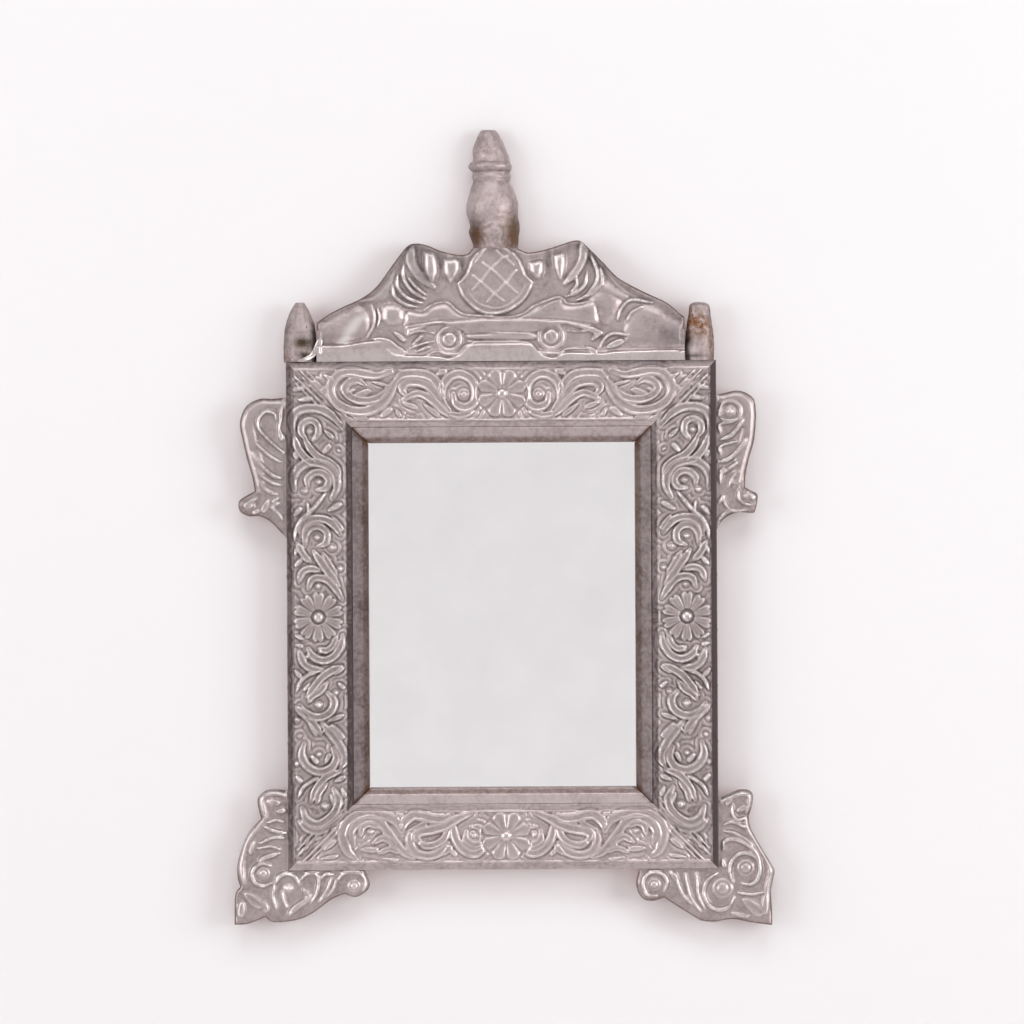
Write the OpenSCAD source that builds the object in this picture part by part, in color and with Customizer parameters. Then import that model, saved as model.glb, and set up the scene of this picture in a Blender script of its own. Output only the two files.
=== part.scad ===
// Wall mirror: a mitred wooden frame, crest, ears, feet and finials, clad in embossed sheet metal.
// +Z is up, the front faces -Y, and the wall touches the backing board at y = 0.

/* [Frame] */
// Width of the frame, over its sheet metal
frame_w = 324; // [300:1:380]
// Height of the frame, over its sheet metal
frame_h = 383; // [360:1:440]
// Thickness of the wooden members
member_t = 20; // [18:0.5:26]
// Width of the plain lip along the outer edge
lip_w = 6; // [4:0.5:9]
// Width of the band that holds the scrollwork
band_w = 38; // [34:0.5:44]
// Width of the plain flat between the band and the bead
fillet_w = 5; // [4:0.2:10]
// Width of the ledge inside the bead, where its skin turns back to the glass
reveal_w = 0.4; // [0.4:0.2:3]

/* [Bead] */
// Width of the bead, over its skin
bead_w = 10.8; // [9:0.2:13]
// Height of the bead above its seat, over its skin
bead_h = 5.5; // [5:0.1:8]
// Depth of the step that the bead sits in
bead_seat = 4.5; // [3:0.5:7]
// Open gap where two beads meet at a corner
bead_gap = 0.6; // [0.2:0.1:1.5]

/* [Glass and back] */
// Thickness of the mirror glass
glass_t = 3; // [2:0.5:4]
// Width of the rebate that holds the glass
rebate_w = 10; // [7:0.5:14]
// Play round the edge of the glass
glass_play = 0.5; // [0.3:0.1:1.5]
// Thickness of the backing board
backing_t = 3; // [2.5:0.5:6]
// Distance from the frame's edge to the backing board's edge
backing_inset = 10; // [6:1:24]
// Shaft diameter of a panel pin
pin_d = 1.6; // [1:0.1:2.4]
// Length of a panel pin
pin_len = 14; // [10:1:16]

/* [Sheet metal] */
// Thickness of the sheet
sheet_t = 0.5; // [0.3:0.1:0.8]
// Height of the embossed scrollwork above the sheet
relief_h = 2.8; // [1.5:0.1:4]
// Width of an embossed rib at its foot
rib_w = 3.4; // [2.4:0.1:4.4]

/* [Crest] */
// Height of the crest board at the seat of the centre finial
crest_h = 85; // [75:1:100]
// Thickness of the crest board, the ears and the feet
board_t = 14; // [12:0.5:18]
// Distance from the wall to the back of those boards
board_back = 6; // [5.8:0.1:8]

/* [Finials] */
// Distance of the centre finial's axis left of the frame's middle
centre_shift = 4; // [0:0.5:10]
// Height of the centre finial
centre_h = 90; // [70:1:110]
// Radius of the centre finial at its widest
centre_r = 20; // [16:0.5:22]
// Distance of the left finial's axis in from the frame's side
left_finial_in = 10.5; // [6:0.5:22]
// Distance of the right finial's axis in from the frame's side
right_finial_in = 12; // [6:0.5:22]
// Height of the left finial
left_finial_h = 45; // [34:1:60]
// Height of the right finial
right_finial_h = 44; // [34:1:60]
// Radius of the left finial at its widest
left_finial_r = 12.5; // [10:0.25:12.5]
// Radius of the right finial at its widest
right_finial_r = 11.25; // [10:0.25:12.5]
// Diameter of the finials' spigots
spigot_d = 7; // [5:0.5:8]
// Length of the finials' spigots
spigot_len = 16; // [10:1:24]

/* [Ears and feet] */
// Distance from the top of the frame down to the top of the ears
ear_drop = 26; // [16:1:60]
// Diameter of the joining dowels
dowel_d = 6; // [5:0.5:8]
// Length of the joining dowels
dowel_len = 30; // [24:1:34]

/* [Hangers] */
// Distance of each hanger from the frame's middle
hanger_x = 80; // [60:1:88]
// Height of the hanger's hinge above the top of the frame
hanger_up = 40; // [38:1:44]
// Width of the strap
strap_w = 12; // [10:0.5:15]
// Length of the strap below the hinge
strap_len = 36; // [34:1:37]
// Thickness of the strap
strap_t = 1.2; // [1:0.1:1.4]
// Diameter of the ring's wire
wire_d = 2.2; // [1.8:0.1:2.4]
// Width of the ring between the middles of its two legs
ring_w = 20; // [17:0.5:24]
// Length of the ring's straight legs
ring_leg = 5; // [4:0.5:6]

/* [Hidden] */
$fn = 48;

metal = [0.66, 0.60, 0.60];
timber = [0.42, 0.29, 0.19];
steel = [0.62, 0.62, 0.64];

// The core lies inside the sheet, so it is smaller by the sheet on each outer side.
core_half_w = frame_w / 2 - sheet_t;
core_half_h = frame_h / 2 - sheet_t;
face_w = lip_w + band_w + fillet_w;
member_w = face_w + bead_w + reveal_w;
front_y = backing_t + member_t;
mid_y = backing_t + member_t / 2;
board_mid = board_back + board_t / 2;
left_finial_x = frame_w / 2 - left_finial_in;
right_finial_x = frame_w / 2 - right_finial_in;
// The relief is laid out for a frame of this size, and its places move with the frame's own size.
drawn_w = 324;
drawn_h = 383;
wide_k = frame_w / drawn_w;
high_k = frame_h / drawn_h;
cut = 0.1;
fit = 0.05;
skin_play = 0.1;
hole_play = 0.4;
hole_fn = 8;

// Round points: a smooth run through hand-placed points, and an arc that closes in on its centre.
function at(p, i) = p[min(max(i, 0), len(p) - 1)];
function between(a, b, c, d, t) =
    0.5 * (2 * b + (c - a) * t + (2 * a - 5 * b + 4 * c - d) * t * t + (3 * b - a - 3 * c + d) * t * t * t);
function smooth_run(p, n) = concat(
    [for (i = [0:len(p) - 2], k = [0:n - 1]) between(at(p, i - 1), p[i], p[i + 1], at(p, i + 2), k / n)],
    [p[len(p) - 1]]
);
function scroll_path(c, r0, r1, a0, sweep, n) =
    [for (i = [0:n]) c + (r0 + (r1 - r0) * i / n) * [cos(a0 + sweep * i / n), sin(a0 + sweep * i / n)]];
function bow(a, b, rise, n) = [for (i = [0:n]) a + (b - a) * i / n
    + rise * sin(180 * i / n) * [a[1] - b[1], b[0] - a[0]] / norm(b - a)];
function direction(p, i) = let (d = at(p, i + 1) - at(p, i - 1)) d / norm(d);

// Upright plane: x to the right, y up the wall, and height towards the viewer from depth d.
module upright(d) translate([0, -d, 0]) rotate([90, 0, 0]) children();

// Embossed forms, all standing on the plane z = 0 of the sheet they belong to.
sink = 0.3;
module rib(path, w0 = rib_w, w1 = rib_w, h = relief_h) {
    n = len(path) - 1;
    points = [for (i = [0:n]) let (
            d = direction(path, i),
            half = (w0 + (w1 - w0) * i / n) / 2 * [-d[1], d[0]],
            top = h * (0.45 + 0.55 * min(1, i / 2, (n - i) / 2)))
        each [[path[i][0] + half[0], path[i][1] + half[1], -sink], [path[i][0], path[i][1], top],
            [path[i][0] - half[0], path[i][1] - half[1], -sink]]];
    sides = [for (i = [0:n - 1], k = [0:2]) let (a = 3 * i + k, b = 3 * i + (k + 1) % 3)
        each [[a, b + 3, b], [a, a + 3, b + 3]]];
    polyhedron(points, concat([[0, 1, 2]], sides, [[3 * n, 3 * n + 2, 3 * n + 1]]), convexity = 6);
}
module boss(c, r, h = relief_h) translate([c[0], c[1], -sink])
    cylinder(h = h + sink, r1 = r, r2 = r * 0.55, $fn = 8);
module leaf(a, b, w, h = relief_h) {
    size = norm(b - a);
    turn = atan2(b[1] - a[1], b[0] - a[0]);
    translate([a[0], a[1], -sink]) rotate([0, 0, turn]) hull() {
        linear_extrude(sink / 3) polygon([
            [0, 0], [size * 0.55, w / 2], [size * 0.95, w * 0.28], [size * 0.95, -w * 0.28], [size * 0.55, -w / 2]
        ]);
        linear_extrude(h + sink) polygon([[size * 0.25, 0], [size * 0.75, w * 0.08], [size * 0.75, -w * 0.08]]);
    }
}
module volute(c, r, a0, sweep, h = relief_h) {
    steps = ceil(abs(sweep) / 54);
    rib(scroll_path(c, r, r * 0.42, a0, sweep, steps), rib_w * 0.8, rib_w, h);
    boss(c, max(r * 0.26, rib_w / 2), h * 0.8);
}
module rosette(c, r, petals = 8) {
    for (k = [0:petals - 1]) {
        a = 360 * k / petals;
        leaf(c + r * 0.3 * [cos(a), sin(a)], c + r * [cos(a), sin(a)], r * 0.62);
    }
    boss(c, r * 0.34, relief_h * 1.05);
}

// Frame members. Along a member x runs from its middle, y runs inwards from 0 to minus its width,
// and z is the height above its back. They are placed by on_side: 0 top, 1 right, 2 bottom, 3 left.
function side_half(side, inset = 0) = (side % 2 == 0 ? core_half_w : core_half_h) - inset;
module on_side(side) {
    out = side % 2 == 0 ? core_half_h : core_half_w;
    upright(backing_t) rotate([0, 0, -90 * side]) translate([0, out, 0]) children();
}
module mitre_block(side, outer, inner, low, high, gap = 0) {
    reach = side_half(side) - gap;
    translate([0, 0, low]) linear_extrude(high - low)
        polygon([[-reach - outer, outer], [reach + outer, outer], [reach - inner, -inner], [-reach + inner, -inner]]);
}
module along(side) {
    bar = 2 * side_half(side) + 4 * sheet_t;
    translate([-bar / 2, 0, 0]) rotate([90, 0, 90]) linear_extrude(bar) children();
}
module core_profile() polygon([
    [0, 0], [rebate_w - member_w, 0], [rebate_w - member_w, glass_t], [-member_w, glass_t],
    [-member_w, member_t - bead_seat], [-face_w, member_t - bead_seat], [-face_w, member_t], [0, member_t]
]);
module member(side) intersection() {
    along(side) core_profile();
    mitre_block(side, 0, member_w, 0, member_t);
}

// Nails cross each corner through the stile into the rail's end, in front of and behind the spigots.
nail_d = 2.2;
nail_len = 38;
nail_head_d = 4.4;
nail_head_t = 0.8;
nail_drop = [13, 31];
nail_back = 4;
module mitre_nail_set(play = 0) {
    for (lr = [-1, 1], tb = [-1, 1], k = [0, 1]) {
        depth = k == 0 ? backing_t + nail_back : front_y - nail_back;
        translate([lr * core_half_w, -depth, tb * (core_half_h - nail_drop[k])]) rotate([0, -90 * lr, 0]) {
            cylinder(h = nail_len, d = nail_d + 2 * play);
            cylinder(h = nail_head_t, d = nail_head_d + 2 * play);
        }
    }
}

// Panel pins hold the backing board. Their heads lie just below its back face.
pin_head_d = 3;
pin_head_t = 0.8;
pin_sunk = 0.2;
backing_half_w = frame_w / 2 - backing_inset;
backing_half_h = frame_h / 2 - backing_inset;
pin_in = (backing_inset + member_w - rebate_w) / 2 - backing_inset;
module pin_places() {
    for (lr = [-1, 1], k = [-1:1]) translate([lr * (backing_half_w - pin_in), 0, k * backing_half_h * 0.72]) children();
    for (tb = [-1, 1], k = [-1, 1]) translate([k * backing_half_w * 0.42, 0, tb * (backing_half_h - pin_in)]) children();
}
module panel_pin(play = 0) rotate([90, 0, 0]) {
    translate([0, 0, pin_sunk]) cylinder(h = pin_len + play, d = pin_d + 2 * play);
    translate([0, 0, play > 0 ? -cut : pin_sunk])
        cylinder(h = pin_head_t + (play > 0 ? pin_sunk + cut : 0), d = pin_head_d + 2 * play);
}

// Dowels: upright ones under the crest, clear of the hangers' screws, level ones in the ears,
// and one of each kind in a foot.
crest_dowel_x = hanger_x + strap_w / 2 + dowel_d;
ear_dowel_down = [26, 84];
foot_dowel_up = 26;
foot_dowel_in = 32;
module dowel(play = 0) translate([0, 0, -dowel_len / 2 - play]) cylinder(h = dowel_len + 2 * play, d = dowel_d + 2 * play);
module crest_dowel_set(play = 0) for (k = [-1:1])
    translate([k * crest_dowel_x, -board_mid, frame_h / 2]) dowel(play);
module ear_dowel_set(play = 0) for (lr = [-1, 1], down = ear_dowel_down)
    translate([lr * frame_w / 2, -board_mid, frame_h / 2 - ear_drop - down]) rotate([0, 90, 0]) dowel(play);
module foot_dowel_set(play = 0) for (lr = [-1, 1]) {
    translate([lr * frame_w / 2, -board_mid, foot_dowel_up - frame_h / 2]) rotate([0, 90, 0]) dowel(play);
    translate([lr * (frame_w / 2 - foot_dowel_in), -board_mid, -frame_h / 2]) dowel(play);
}
module spigot(x, z, play = 0) translate([x, -mid_y, z - spigot_len - play])
    cylinder(h = spigot_len + play + cut, d = spigot_d + 2 * play);

module wood_member(side) color(timber) difference() {
    on_side(side) member(side);
    mitre_nail_set(fit);
    pin_places() panel_pin(fit);
    tack_set(fit);
    if (side == 0) crest_dowel_set(fit);
    if (side != 2) {
        spigot(-left_finial_x, frame_h / 2, fit);
        spigot(right_finial_x, frame_h / 2, fit);
    }
    if (side % 2 == 1) {
        ear_dowel_set(fit);
        foot_dowel_set(fit);
    }
    if (side == 2) foot_dowel_set(fit);
}
module top_rail_core() wood_member(0);
module right_stile_core() wood_member(1);
module bottom_rail_core() wood_member(2);
module left_stile_core() wood_member(3);

// Tacks hold the folded edge of the sheet on the open stretches of the sides and the bottom.
tack_d = 1.2;
tack_len = 8;
tack_head_d = 3;
tack_head_h = 0.8;
stile_tacks = [-96, -54, -12, 30];
bottom_tacks = [-66, -22, 22, 66];
tack_back = 6;
module tack(play = 0) {
    translate([0, 0, -tack_len]) cylinder(h = tack_len + tack_head_h / 2, d = tack_d + 2 * play);
    if (play == 0) intersection() {
        translate([0, 0, tack_head_h - tack_head_d]) sphere(d = 2 * tack_head_d);
        cylinder(h = tack_head_h, d = tack_head_d);
    }
}
module tack_set(play = 0) {
    for (lr = [-1, 1], z = stile_tacks)
        translate([lr * frame_w / 2, -backing_t - tack_back, z * high_k]) rotate([0, 90 * lr, 0]) tack(play);
    for (x = bottom_tacks)
        translate([x * wide_k, -backing_t - tack_back, -frame_h / 2]) rotate([180, 0, 0]) tack(play);
}
module sheet_tacks() color(steel) tack_set();
module mitre_nails() color(steel) mitre_nail_set();

// The sheet on a member: a front plate, a folded outer edge and the embossed band.
module sheet_blank(side) {
    mitre_block(side, sheet_t, face_w, member_t, member_t + sheet_t, fit);
    mitre_block(side, sheet_t, 0, 0, member_t + sheet_t / 2, fit);
}
mitre_rib_off = 5.5;
module mitre_ribs(side) {
    reach = side_half(side) - mitre_rib_off;
    band_end = lip_w + band_w - rib_w / 2;
    for (end = [-1, 1]) rib([for (down = [lip_w + rib_w / 2, face_w / 2, band_end]) [end * (reach - down), -down]],
        rib_w * 0.7, rib_w * 0.7, relief_h * 0.6);
}

// Rail scrolls, for the left half: distance from the middle, distance from the outer edge, radius,
// angle where the outer end starts, and how far it turns.
rail_scrolls = [
    [[-28, -27], 11, 30, 380],
    [[-70, -23], 13.5, -130, -420],
    [[-112, -27], 15.5, 60, 430]
];
rail_stems = [
    [[-50, -40], [-14, -39], -2.5],
    [[-86, -12], [-56, -15], 7],
    [[-95, -15], [-81, -36], -3]
];
rail_leaves = [
    [[-126, -12], [-134, -11], 7],
    [[-92, -38], [-84, -41], 7],
    [[-48, -10], [-57, -9], 6],
    [[-112, -27], [-104, -22], 6],
    [[-70, -30], [-60, -27], 5],
    [[-44, -22], [-44, -32], 6]
];
module rail_relief() {
    k = wide_k;
    rosette([0, -lip_w - band_w / 2], 18.5);
    for (m = [0, 1]) mirror([m, 0, 0]) {
        for (s = rail_scrolls) volute([s[0][0] * k, s[0][1]], s[1], s[2], s[3]);
        for (s = rail_stems) rib(bow([s[0][0] * k, s[0][1]], [s[1][0] * k, s[1][1]], s[2], 3));
        for (s = rail_leaves) leaf([s[0][0] * k, s[0][1]], [s[1][0] * k, s[1][1]], s[2]);
    }
}

// Stile scrolls, as on the left stile: x runs up from the middle and y inwards from the outer edge.
stile_scrolls = [
    [[135, -20], 14.5, -120, -400],
    [[99, -25], 13.5, 130, -380],
    [[60, -22], 12.5, -60, -380],
    [[25, -24], 9.5, 130, -300],
    [[-29, -25], 12, -130, 380],
    [[-64, -22], 14, 120, 400],
    [[-103, -23], 14.5, -60, 400],
    [[-142, -22], 13.5, 120, 380]
];
stile_stems = [
    [[130, -8], [105, -39], 3],
    [[92, -36], [68, -9], -3],
    [[52, -10], [24, -38], 3],
    [[-34, -37], [-58, -9], -3],
    [[-68, -9], [-93, -38], 3],
    [[-110, -37], [-136, -9], -3]
];
stile_leaves = [
    [[118, -36], [126, -39], 7],
    [[80, -12], [87, -10], 7],
    [[84, -33], [82, -40], 8],
    [[42, -36], [50, -39], 7],
    [[38, -13], [33, -9], 7],
    [[-42, -13], [-36, -9], 7],
    [[-44, -35], [-42, -41], 7],
    [[-80, -11], [-85, -10], 7],
    [[-80, -35], [-84, -40], 8],
    [[-122, -35], [-119, -41], 7],
    [[-122, -12], [-116, -9], 7],
    [[99, -25], [107, -30], 5],
    [[-103, -23], [-95, -18], 5]
];
module stile_relief() {
    k = high_k;
    rosette([0, -lip_w - band_w / 2], 18);
    for (s = stile_scrolls) volute([s[0][0] * k, s[0][1]], s[1], s[2], s[3]);
    for (s = stile_stems) rib(bow([s[0][0] * k, s[0][1]], [s[1][0] * k, s[1][1]], s[2], 3));
    for (s = stile_leaves) leaf([s[0][0] * k, s[0][1]], [s[1][0] * k, s[1][1]], s[2]);
}
module member_sheet(side) color(metal) difference() {
    on_side(side) {
        sheet_blank(side);
        translate([0, 0, member_t + sheet_t]) {
            mitre_ribs(side);
            if (side % 2 == 0) rail_relief();
            if (side == 3) stile_relief();
            if (side == 1) mirror([1, 0, 0]) stile_relief();
        }
    }
    tack_set(hole_play, $fn = hole_fn);
    if (side == 0) {
        crest_dowel_set(hole_play, $fn = hole_fn);
        spigot(-left_finial_x, frame_h / 2, hole_play, $fn = hole_fn);
        spigot(right_finial_x, frame_h / 2, hole_play, $fn = hole_fn);
    }
    if (side % 2 == 1) {
        ear_dowel_set(hole_play, $fn = hole_fn);
        foot_dowel_set(hole_play, $fn = hole_fn);
    }
    if (side == 2) foot_dowel_set(hole_play, $fn = hole_fn);
}
module top_rail_sheet() member_sheet(0);
module right_stile_sheet() member_sheet(1);
module bottom_rail_sheet() member_sheet(2);
module left_stile_sheet() member_sheet(3);

// Beads round the glass: level outside, with a slope towards the glass. A skin is wrapped over each.
bead_core_w = bead_w - 2 * sheet_t;
bead_core_h = bead_h - sheet_t;
bead_round = 2.1;
bead_foot_round = 0.8;
bead_level_w = 3.6;
slope_run = bead_core_w - bead_foot_round - bead_round - bead_level_w;
slope_drop = bead_core_h - bead_round - bead_foot_round;
slope_turn = acos((bead_round - bead_foot_round) / norm([slope_run, slope_drop])) - atan2(slope_drop, slope_run);
function arc(c, r, from, to) = [for (k = [0:6]) c + r * [cos(from + (to - from) * k / 6), sin(from + (to - from) * k / 6)]];
module bead_profile(grow) translate([-face_w - sheet_t, member_t - bead_seat]) mirror([1, 0, 0]) polygon(concat(
    [[-grow, 0]],
    arc([bead_round, bead_core_h - bead_round], bead_round + grow, 180, 90),
    arc([bead_round + bead_level_w, bead_core_h - bead_round], bead_round + grow, 90, slope_turn),
    arc([bead_core_w - bead_foot_round, bead_foot_round], bead_foot_round + grow, slope_turn, 0),
    [[bead_core_w + grow, 0]]
));
module bead_bar(side, grow) intersection() {
    along(side) bead_profile(grow);
    mitre_block(side, 0, member_w, member_t - bead_seat - cut, member_t + bead_h, bead_gap / 2);
}
module bead(side) color(timber) on_side(side) bead_bar(side, -skin_play);
module bead_skin(side) color(metal) on_side(side) {
    difference() {
        bead_bar(side, sheet_t);
        along(side) translate([0, -cut]) bead_profile(0);
        along(side) bead_profile(0);
    }
    skin_return(side);
}
// The skin turns over the ledge and back along the wood, and stops just short of the glass.
glass_gap = 0.3;
module skin_return(side) intersection() {
    ledge = member_t - bead_seat;
    from = -face_w - bead_w + sheet_t / 2;
    along(side) polygon([
        [from, ledge], [-member_w, ledge], [-member_w, glass_t + glass_gap], [-member_w - sheet_t, glass_t + glass_gap],
        [-member_w - sheet_t, ledge + sheet_t], [from, ledge + sheet_t]
    ]);
    mitre_block(side, 0, member_w + sheet_t, glass_t, member_t, bead_gap / 2);
}
module top_bead() bead(0);
module right_bead() bead(1);
module bottom_bead() bead(2);
module left_bead() bead(3);
module top_bead_skin() bead_skin(0);
module right_bead_skin() bead_skin(1);
module bottom_bead_skin() bead_skin(2);
module left_bead_skin() bead_skin(3);

// Glass in its rebate, with its back level with the backs of the members.
glass_half_w = core_half_w - member_w + rebate_w - glass_play;
glass_half_h = core_half_h - member_w + rebate_w - glass_play;
module mirror_glass() color([0.82, 0.85, 0.85])
    translate([-glass_half_w, -backing_t - glass_t, -glass_half_h]) cube([2 * glass_half_w, glass_t, 2 * glass_half_h]);
module backing_board() color([0.62, 0.48, 0.33]) difference() {
    translate([-backing_half_w, -backing_t, -backing_half_h]) cube([2 * backing_half_w, backing_t, 2 * backing_half_h]);
    pin_places() panel_pin(fit);
}
module backing_pins() color(steel) pin_places() panel_pin();

// Boards cut to an outline, and the sheet wrapped over the front and all edges of each.
edge_rim_w = 4;
module board_blank() upright(board_back) linear_extrude(board_t) offset(delta = -sheet_t) children();
module board_sheet() {
    linear_extrude(board_t + sheet_t) difference() {
        children();
        offset(delta = -sheet_t) children();
    }
    translate([0, 0, board_t]) linear_extrude(sheet_t) children();
    translate([0, 0, board_t]) linear_extrude(sheet_t + relief_h * 0.35) difference() {
        offset(delta = -sheet_t) children();
        offset(delta = -edge_rim_w) children();
    }
}
relief_z = board_t + sheet_t;

// Crest outline above the frame. Its ends stop short of the side finials, and the centre finial
// stands between its two halves. Everything on the crest is stretched with that outline.
crest_left = [[-138.5, 29.5], [-131, 35], [-120, 41], [-104.5, 48], [-93, 57], [-82, 72], [-71, 86], [-64, 89],
    [-55, 87.5], [-44, 83], [-32, 80.5], [-25, 81], [-21, 85]];
crest_right = [[13, 85], [21, 82], [32, 83.5], [44, 87], [55, 90.5], [61, 90], [66.5, 85], [78, 73.5],
    [88.5, 62.5], [104.5, 53.5], [116, 48], [126, 43], [138, 32.5]];
crest_end_gap = 0.5;
crest_from = left_finial_r + crest_end_gap - left_finial_x;
crest_to = right_finial_x - right_finial_r - crest_end_gap;
drawn_from = crest_left[0][0];
drawn_to = crest_right[len(crest_right) - 1][0];
drawn_lo = crest_left[len(crest_left) - 1];
drawn_hi = crest_right[0];
seat_lo = -centre_shift + (drawn_lo[0] - drawn_hi[0]) / 2;
seat_hi = -centre_shift + (drawn_hi[0] - drawn_lo[0]) / 2;
function crest_x(x) = x < drawn_lo[0] ? seat_lo + (x - drawn_lo[0]) * (crest_from - seat_lo) / (drawn_from - drawn_lo[0])
    : x > drawn_hi[0] ? seat_hi + (x - drawn_hi[0]) * (crest_to - seat_hi) / (drawn_to - drawn_hi[0])
    : seat_lo + x - drawn_lo[0];
function crest_point(p) = [crest_x(p[0]), p[1] * crest_h / drawn_lo[1]];
module crest_outline() polygon(concat(
    [[crest_from, 0]],
    smooth_run([for (p = crest_left) crest_point(p)], 2),
    smooth_run([for (p = crest_right) crest_point(p)], 2),
    [[crest_to, 0]]
));
module crest_place() translate([0, 0, frame_h / 2]) children();
module centre_spigot(play = 0) translate([-centre_shift, -board_mid, frame_h / 2 + crest_h - spigot_len - play])
    cylinder(h = spigot_len + play + cut, d = spigot_d + 2 * play);
module crest_board() color(timber) difference() {
    crest_place() board_blank() crest_outline();
    crest_dowel_set(fit);
    centre_spigot(fit);
    strap_screw_set(fit);
}

// Crest ornament: a latticed basket in the middle, curtains and feathers beside it, a bar with two
// bosses below, a wavy ribbon over the bar, and smooth mounds out to the ends.
basket = [[-27, 74], [-25, 56], [-17, 43], [-3.5, 37.5], [10, 43], [18, 56], [20, 74], [8, 80], [-15, 80]];
lattice_mid = [-4, 60];
lattice_step = 11;
lattice_half = 16;
lattice_loss = 3;
knob_leaf = [[-12, 81], [2, 71], 12];
crest_bosses = [[[-39, 17], 10.5], [[38, 18.5], 11], [[-79, 33], 9], [[78, 35], 9]];
crest_ribbon = [[-82, 43], [-62, 38], [-47, 47], [-32, 38], [-3, 33], [20, 41], [43, 49], [62, 40], [80, 42]];
crest_bar = [[-70, 25], [-40, 30], [-3, 21], [38, 31], [70, 27]];
crest_low_bar = [[-26, 14], [-3, 11], [26, 12]];
curtain_leaves = [[[-32, 78], [-34, 56], 11], [[-44, 80], [-44, 57], 12], [[-56, 82], [-54, 58], 13],
    [[26, 80], [27, 57], 11], [[38, 83], [38, 58], 12], [[50, 86], [49, 58], 13]];
feather_leaves = [[[-62, 80], [-68, 60], 7], [[-68, 72], [-76, 52], 7], [[-75, 64], [-84, 47], 7],
    [[-60, 62], [-70, 46], 7], [[60, 80], [67, 60], 7], [[67, 72], [76, 53], 7], [[75, 65], [84, 48], 7],
    [[58, 62], [68, 47], 7]];
tail_leaves = [[[-74, 22], [-94, 17], 10], [[-72, 17], [-88, 8], 8], [[73, 22], [94, 17], 10], [[70, 17], [88, 9], 8],
    [[-66, 29], [-58, 20], 6], [[64, 31], [58, 20], 6]];
mounds = [[[-98, 16], [-123, 29], 26], [[96, 18], [122, 32], 26]];
module crest_relief() {
    translate([0, 0, -sink]) linear_extrude(relief_h * 0.7 + sink) polygon([for (p = basket) crest_point(p)]);
    for (k = [-1.5:1.5], m = [-1, 1]) {
        mid = crest_point(lattice_mid + [k * lattice_step, 0]);
        half = (lattice_half - abs(k) * lattice_loss) * [0.7 * m, 1];
        translate([0, 0, relief_h * 0.7]) rib([mid - half, mid + half * 0.8], rib_w * 0.5, rib_w * 0.5, relief_h * 0.7);
    }
    rib([for (p = basket) crest_point(p)], rib_w * 1.2, rib_w * 1.2, relief_h * 1.2);
    for (b = crest_bosses) boss(crest_point(b[0]), b[1], relief_h);
    for (b = [crest_bosses[0], crest_bosses[1]])
        rib(scroll_path(crest_point(b[0]), b[1] * 0.5, b[1] * 0.25, 0, 330, 6), rib_w * 0.6, rib_w * 0.6, relief_h * 1.5);
    rib([for (p = crest_ribbon) crest_point(p)]);
    rib([for (p = crest_bar) crest_point(p)], rib_w * 1.3, rib_w * 1.3);
    rib([for (p = crest_low_bar) crest_point(p)]);
    for (s = curtain_leaves) leaf(crest_point(s[0]), crest_point(s[1]), s[2], relief_h * 1.3);
    for (s = feather_leaves) leaf(crest_point(s[0]), crest_point(s[1]), s[2]);
    for (s = tail_leaves) leaf(crest_point(s[0]), crest_point(s[1]), s[2]);
    for (s = mounds) leaf(crest_point(s[0]), crest_point(s[1]), s[2], relief_h * 1.2);
    leaf(crest_point(knob_leaf[0]), crest_point(knob_leaf[1]), knob_leaf[2], relief_h * 1.5);
}
module crest_sheet() color(metal) difference() {
    crest_place() upright(board_back) {
        board_sheet() crest_outline();
        translate([0, 0, relief_z]) crest_relief();
    }
    crest_dowel_set(hole_play, $fn = hole_fn);
    centre_spigot(hole_play, $fn = hole_fn);
}
module crest_dowels() color(timber) crest_dowel_set();

// Finials: outlines of radius against height, stretched to each finial's own radius and height.
centre_outline = [[17.1, 0], [17.8, 6], [18.7, 11.5], [18.2, 16.5], [19, 22], [20, 30], [19.2, 38], [17, 46], [14.6, 52],
    [14.1, 55], [14.6, 58.5], [16.6, 62], [16.6, 64], [14.6, 66], [14, 70], [12.8, 76], [10, 82], [5.5, 88.5], [0, 89]];
left_outline = [[12.4, 0], [12.6, 5], [12.5, 14], [12, 22], [11.4, 28], [8.9, 33.5], [6.5, 39], [4.4, 43], [3.6, 45],
    [0, 45.3]];
right_outline = [[10.6, 0], [11.2, 6], [11, 14], [10.3, 22], [9.4, 29], [8.5, 34], [8, 38], [7.6, 41], [6.2, 43.2],
    [3, 44], [0, 44.2]];
// The wood stands inside the skin, so its radii are smaller by the skin and its play.
module turned_outline(outline, r, h, inside) {
    widest = max([for (p = outline) p[0]]);
    tallest = outline[len(outline) - 1][1];
    run = smooth_run([for (p = outline) [p[0] * r / widest, p[1] * h / tallest]], 3);
    shown = [for (p = run) [max(p[0] - inside, 0), min(p[1], h - inside)]];
    polygon(concat([[0, 0]], shown));
}
module turned_skin(outline, r, h) difference() {
    turned_outline(outline, r, h, 0);
    turned_outline(outline, r, h, sheet_t);
}
module centre_place() translate([-centre_shift, -board_back, frame_h / 2 + crest_h]) rotate([0, 0, 180]) children();
module centre_finial() color(timber) {
    centre_place() rotate_extrude(angle = 180) turned_outline(centre_outline, centre_r, centre_h, sheet_t + skin_play);
    centre_spigot();
}
module centre_finial_skin() color(metal)
    centre_place() rotate_extrude(angle = 180) turned_skin(centre_outline, centre_r, centre_h);
module side_finial(x, outline, r, h) color(timber) {
    translate([x, -mid_y, frame_h / 2]) rotate_extrude() turned_outline(outline, r, h, sheet_t + skin_play);
    spigot(x, frame_h / 2);
}
module side_finial_skin(x, outline, r, h) color(metal)
    translate([x, -mid_y, frame_h / 2]) rotate_extrude() turned_skin(outline, r, h);
module left_finial() side_finial(-left_finial_x, left_outline, left_finial_r, left_finial_h);
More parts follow.
